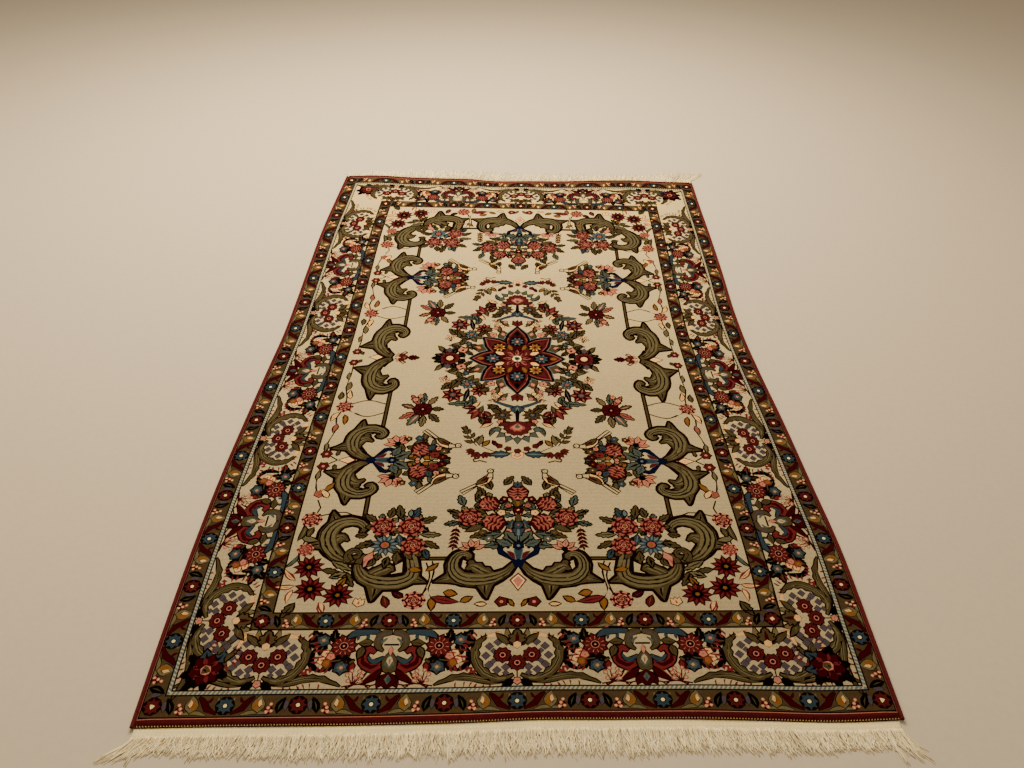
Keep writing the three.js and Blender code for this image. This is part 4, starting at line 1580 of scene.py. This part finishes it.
def fringe(end):
    """The loose warp ends of one end, gathered into locks"""
    loose = random.Random(31 if end > 0 else 47)
    table = BACK_LOCKS if end > 0 else FRONT_LOCKS
    pull = 0.6 if end > 0 else 0.3
    density = 0.7 if end > 0 else 1
    width = 2 * (HALF_WIDTH - 6)
    offsets = [loose.gauss(0, 1) for _ in range(int(width / LOCK_PITCH) + 2)]
    paths = []
    for layer, (number, rise, curl, longest) in enumerate(STRAND_LAYERS):
        for k in range(int(number * density)):
            x = -width / 2 + width * (k + 0.5) / number * (1 / density) + loose.uniform(-0.7, 0.7)
            lock = min(int((x + width / 2) / LOCK_PITCH), len(offsets) - 1)
            middle = -width / 2 + LOCK_PITCH * (lock + 0.5) + 1.6 * offsets[lock]
            reach = float(column(table, 1, x)) * (1 + 0.06 * offsets[lock]) * loose.uniform(0.62, longest)
            lean = float(column(table, 2, x)) + 2.2 * offsets[lock]
            tip_x = x + lean + (middle - x) * pull + loose.gauss(0, 3.5 + 3.0 * layer)
            tip = (tip_x, end_point(x, end, WEB_WIDTH + reach))
            paths.append(strand(loose, x, end, tip, loose.uniform(0.6, 1.05), rise, curl))
    for x, tip_x, out in FRONT_STRAYS if end < 0 else BACK_STRAYS:
        for _ in range(4):
            tip = (tip_x + loose.gauss(0, 2), end_point(x, end, out + loose.gauss(0, 2)))
            paths.append(strand(loose, x + loose.uniform(-2, 2), end, tip, 0.8, 1.2, 2.5))
    name = "fringe_strands_" + END_NAMES[end]
    mesh = tubes_mesh(name, paths, 4)
    soil = np.repeat([loose.betavariate(1.3, 2.2) for _ in paths], 4 * len(paths[0]))
    mesh.attributes.new("soil", "FLOAT", "POINT").data.foreach_set("value", soil)
    return finished(name, mesh, cotton_strands(), "cream_cotton", "fringe_" + END_NAMES[end])


def add(tree, kind, inputs=None, **settings):
    """Adds a node to a material, with its settings and its inputs: plain values or other nodes' sockets"""
    made = tree.nodes.new(kind)
    for name, value in settings.items():
        setattr(made, name, value)
    for name, value in (inputs or {}).items():
        if isinstance(value, bpy.types.NodeSocket):
            tree.links.new(value, made.inputs[name])
        else:
            made.inputs[name].default_value = value
    return made


# A wave texture turns 20 radians for each unit of its scale; the pile's and the web's waves in millimetres
WAVE_TURNS = 2 * pi / 20
PILE_WAVES = 10.8247
WEB_WAVES = 7.00424


def per_metre(size):
    """A texture's scale for details of a size in millimetres"""
    return 1 / (size * MM)


def new_material(name):
    """A material with a bare tree, its places on the object and its shader"""
    material = bpy.data.materials.new(name)
    material.use_nodes = True
    tree = material.node_tree
    tree.nodes.clear()
    place = add(tree, "ShaderNodeTexCoord").outputs["Object"]
    shader = add(tree, "ShaderNodeBsdfPrincipled")
    add(tree, "ShaderNodeOutputMaterial", {"Surface": shader.outputs["BSDF"]})
    return material, tree, place, shader


def noise(tree, place, size, detail, stretch=None):
    """Soft spots of a size in millimetres, drawn out along the axes with the smaller factors"""
    if stretch:
        place = add(tree, "ShaderNodeMapping", {"Vector": place, "Scale": stretch}).outputs["Vector"]
    spots = {"Vector": place, "Scale": per_metre(size), "Detail": detail}
    return add(tree, "ShaderNodeTexNoise", spots).outputs["Fac"]


def waves(tree, place, pitch, direction, distortion, detail=2.0):
    """Soft waves a pitch in millimetres apart"""
    scale = per_metre(pitch) * WAVE_TURNS
    rows = {"Vector": place, "Scale": scale, "Distortion": distortion, "Detail": detail}
    return add(tree, "ShaderNodeTexWave", rows, bands_direction=direction).outputs["Fac"]


def combined(tree, operation, *values):
    """Values joined by an arithmetic operation"""
    return add(tree, "ShaderNodeMath", dict(enumerate(values)), operation=operation).outputs["Value"]


def spread(tree, value, low, high, to_low=0.0, to_high=1.0):
    """A value whose range is laid out between two others"""
    ends = {"Value": value, "From Min": low, "From Max": high, "To Min": to_low, "To Max": to_high}
    return add(tree, "ShaderNodeMapRange", ends).outputs["Result"]


def toned(tree, colour, factor, low, high, saturation=1.0):
    """A colour made darker or lighter by a texture between two factors"""
    shift = {"Value": spread(tree, factor, 0.25, 0.75, low, high), "Saturation": saturation, "Color": colour}
    return add(tree, "ShaderNodeHueSaturation", shift).outputs["Color"]


def set_fibre(tree, shader, colour, relief, roughness, sheen, tint, specular=0.08):
    """A soft matt fibre's colour, the strength and depth of its relief, and the shader's own numbers"""
    height, strength, depth = relief
    bump = add(tree, "ShaderNodeBump", {"Height": height, "Strength": strength, "Distance": depth * MM})
    tree.links.new(bump.outputs["Normal"], shader.inputs["Normal"])
    tree.links.new(colour, shader.inputs["Base Color"])
    shader.inputs["Roughness"].default_value = roughness
    shader.inputs["Specular IOR Level"].default_value = specular
    shader.inputs["Sheen Weight"].default_value = sheen
    shader.inputs["Sheen Roughness"].default_value = 0.6
    shader.inputs["Sheen Tint"].default_value = linear(tint)


def knotted_wool():
    """Short hand-knotted wool pile: dyed yarns with painted light along the rug, the pale ones painted
    lighter and more saturated towards the back, the dark ones a little darker there
    """
    material, tree, place, shader = new_material("knotted_wool_pile")
    yarn = add(tree, "ShaderNodeAttribute", attribute_name="yarn").outputs["Color"]
    abrash = noise(tree, place, 160, 2.0, (0.35, 1.0, 1.0))
    knots = add(tree, "ShaderNodeTexVoronoi", {"Vector": place, "Scale": per_metre(2.2)}).outputs["Distance"]
    tufts = noise(tree, place, 5.0, 3.0)
    along = add(tree, "ShaderNodeSeparateXYZ", {"Vector": place}).outputs["Y"]
    # Painted light along the rug: the pale yarns are painted lighter and more saturated towards the back, the
    # dark yarns a little darker there
    towards_back = spread(tree, along, -0.9, 0.9)
    brightness = add(tree, "ShaderNodeRGBToBW", {"Color": yarn}).outputs["Val"]
    pale = spread(tree, brightness, 0.15, 0.4, -0.1, 0.35)
    painted_light_towards_back = combined(tree, "MULTIPLY_ADD", towards_back, pale, 0.4)
    painted_light_saturation = combined(tree, "MULTIPLY_ADD", painted_light_towards_back, 0.6, 0.78)
    colour = toned(tree, yarn, painted_light_towards_back, 0.57, 1.42, painted_light_saturation)
    colour = toned(tree, colour, abrash, 0.95, 1.05)
    colour = toned(tree, colour, tufts, 0.90, 1.10)
    # Painted shade: each knot is painted darker towards its rim, as shade in the gaps between the tufts
    colour = toned(tree, colour, knots, 1.06, 0.84)
    relief = combined(tree, "SUBTRACT", knots, waves(tree, place, PILE_WAVES, "Y", 1.5, 1.0))
    set_fibre(tree, shader, colour, (relief, 0.5, 0.4), 0.95, 0.0, YARNS["ivory"], specular=0.02)
    return material


def overcast_wool():
    """Red wool yarn wound closely round the side cords, with fibres along each turn"""
    material, tree, place, shader = new_material("overcast_red_wool")
    turns = noise(tree, place, 3.0, 2.0, (0.3, 1.0, 0.3))
    colour = toned(tree, linear(YARNS["red"]), turns, 0.75, 1.2)
    colour = toned(tree, colour, noise(tree, place, 70, 2.0), 0.85, 1.12)
    set_fibre(tree, shader, colour, (turns, 0.6, 0.4), 0.9, 0.05, YARNS["coral"])
    return material


def cotton_web():
    """Plain-woven undyed cotton with a soft relief both ways"""
    material, tree, place, shader = new_material("plain_woven_cotton")
    weave = combined(tree, "MULTIPLY", *(waves(tree, place, WEB_WAVES, way, 1.0) for way in "XY"))
    colour = toned(tree, linear(COTTON), weave, 1.0, 1.16, 1.25)
    colour = toned(tree, colour, noise(tree, place, 40, 3.0), 0.9, 1.05)
    set_fibre(tree, shader, colour, (weave, 0.6, 0.3), 0.9, 0.1, COTTON)
    return material


def cotton_strands():
    """Loose twisted cotton warp ends, each a little lighter or darker"""
    material, tree, place, shader = new_material("loose_cotton_warps")
    soil = add(tree, "ShaderNodeAttribute", attribute_name="soil").outputs["Fac"]
    twist = noise(tree, place, 1.2, 1.0)
    colour = toned(tree, linear(COTTON), soil, 1.28, 0.84)
    colour = toned(tree, colour, noise(tree, place, 3.0, 2.0, (1.0, 0.12, 1.0)), 0.85, 1.06)
    colour = toned(tree, colour, twist, 0.93, 1.04)
    set_fibre(tree, shader, colour, (twist, 0.5, 0.3), 0.88, 0.15, COTTON)
    return material


FLOOR = "#d3c4a8"
FLOOR_HALF_WIDTH = 9.0


def floor_finish():
    """A plain pale matt floor"""
    material, tree, place, shader = new_material("plain_pale_floor")
    colour = toned(tree, linear(FLOOR), noise(tree, place, 14, 3.0), 0.97, 1.03)
    tree.links.new(colour, shader.inputs["Base Color"])
    shader.inputs["Roughness"].default_value = 0.95
    return material


def flat_floor():
    """The floor that the rug lies on, as wide as the views need"""
    built = bmesh.new()
    bmesh.ops.create_grid(built, x_segments=4, y_segments=4, size=FLOOR_HALF_WIDTH)
    mesh = bpy.data.meshes.new("floor")
    built.to_mesh(mesh)
    built.free()
    mesh.materials.append(floor_finish())
    placed("floor", mesh)


# The camera in millimetres, degrees and the photograph's pixels
CAMERA_PLACE = (-24.7, -1721.0, 1323.0)
CAMERA_YAW, CAMERA_PITCH, CAMERA_ROLL = -3.277, 40.0, 2.592
FOCAL_PIXELS = 765.0
PHOTO_WIDTH = 1024
MIDDLE_PIXEL = 547.4
SENSOR_MM = 36.0


def camera():
    """The camera at the photograph's place and angle"""
    yaw, pitch, roll = radians(CAMERA_YAW), radians(CAMERA_PITCH), radians(CAMERA_ROLL)
    ahead = Vector((-sin(yaw) * cos(pitch), cos(yaw) * cos(pitch), -sin(pitch)))
    level = Vector((cos(yaw), sin(yaw), 0))
    upright = level.cross(ahead)
    right = level * cos(roll) + upright * sin(roll)
    up = right.cross(ahead)
    data = bpy.data.cameras.new("camera")
    data.sensor_width = SENSOR_MM
    data.lens = FOCAL_PIXELS / PHOTO_WIDTH * SENSOR_MM
    data.shift_x = (PHOTO_WIDTH / 2 - MIDDLE_PIXEL) / PHOTO_WIDTH
    made = placed("camera", data)
    turned = Matrix((right, up, -ahead)).transposed().to_4x4()
    made.matrix_world = Matrix.Translation(Vector(CAMERA_PLACE) * MM) @ turned
    bpy.context.scene.camera = made


# The lamp over the back half of the rug: metres and watts
LAMP_PLACE = Vector((-0.5, 1.75, 2.35))
LAMP_TARGET = Vector((-0.15, 0.6, 0))
LAMP_SIZE = (2.6, 1.6)
LAMP_POWER = 178
LAMP_TINT = "#ffedd2"
ROOM_TINT = "#ffefdb"
ROOM_STRENGTH = 0.37


def room_light():
    """A large soft lamp over the back of the rug, in an evenly lit room"""
    world = bpy.data.worlds.new("room")
    world.use_nodes = True
    ground = world.node_tree.nodes["Background"]
    ground.inputs["Color"].default_value = linear(ROOM_TINT)
    ground.inputs["Strength"].default_value = ROOM_STRENGTH
    bpy.context.scene.world = world
    data = bpy.data.lights.new("ceiling_far", "AREA")
    data.shape = "RECTANGLE"
    data.size, data.size_y = LAMP_SIZE
    data.energy = LAMP_POWER
    data.color = linear(LAMP_TINT)[:3]
    lamp = placed("ceiling_far", data)
    lamp.location = LAMP_PLACE
    lamp.rotation_euler = (LAMP_TARGET - LAMP_PLACE).to_track_quat("-Z", "Y").to_euler()


draw_rug()
cloth = pile_cloth()
trims = [selvedge(-1), selvedge(1), web(-1), web(1), fringe(-1), fringe(1)]
flat_floor()
camera()
room_light()
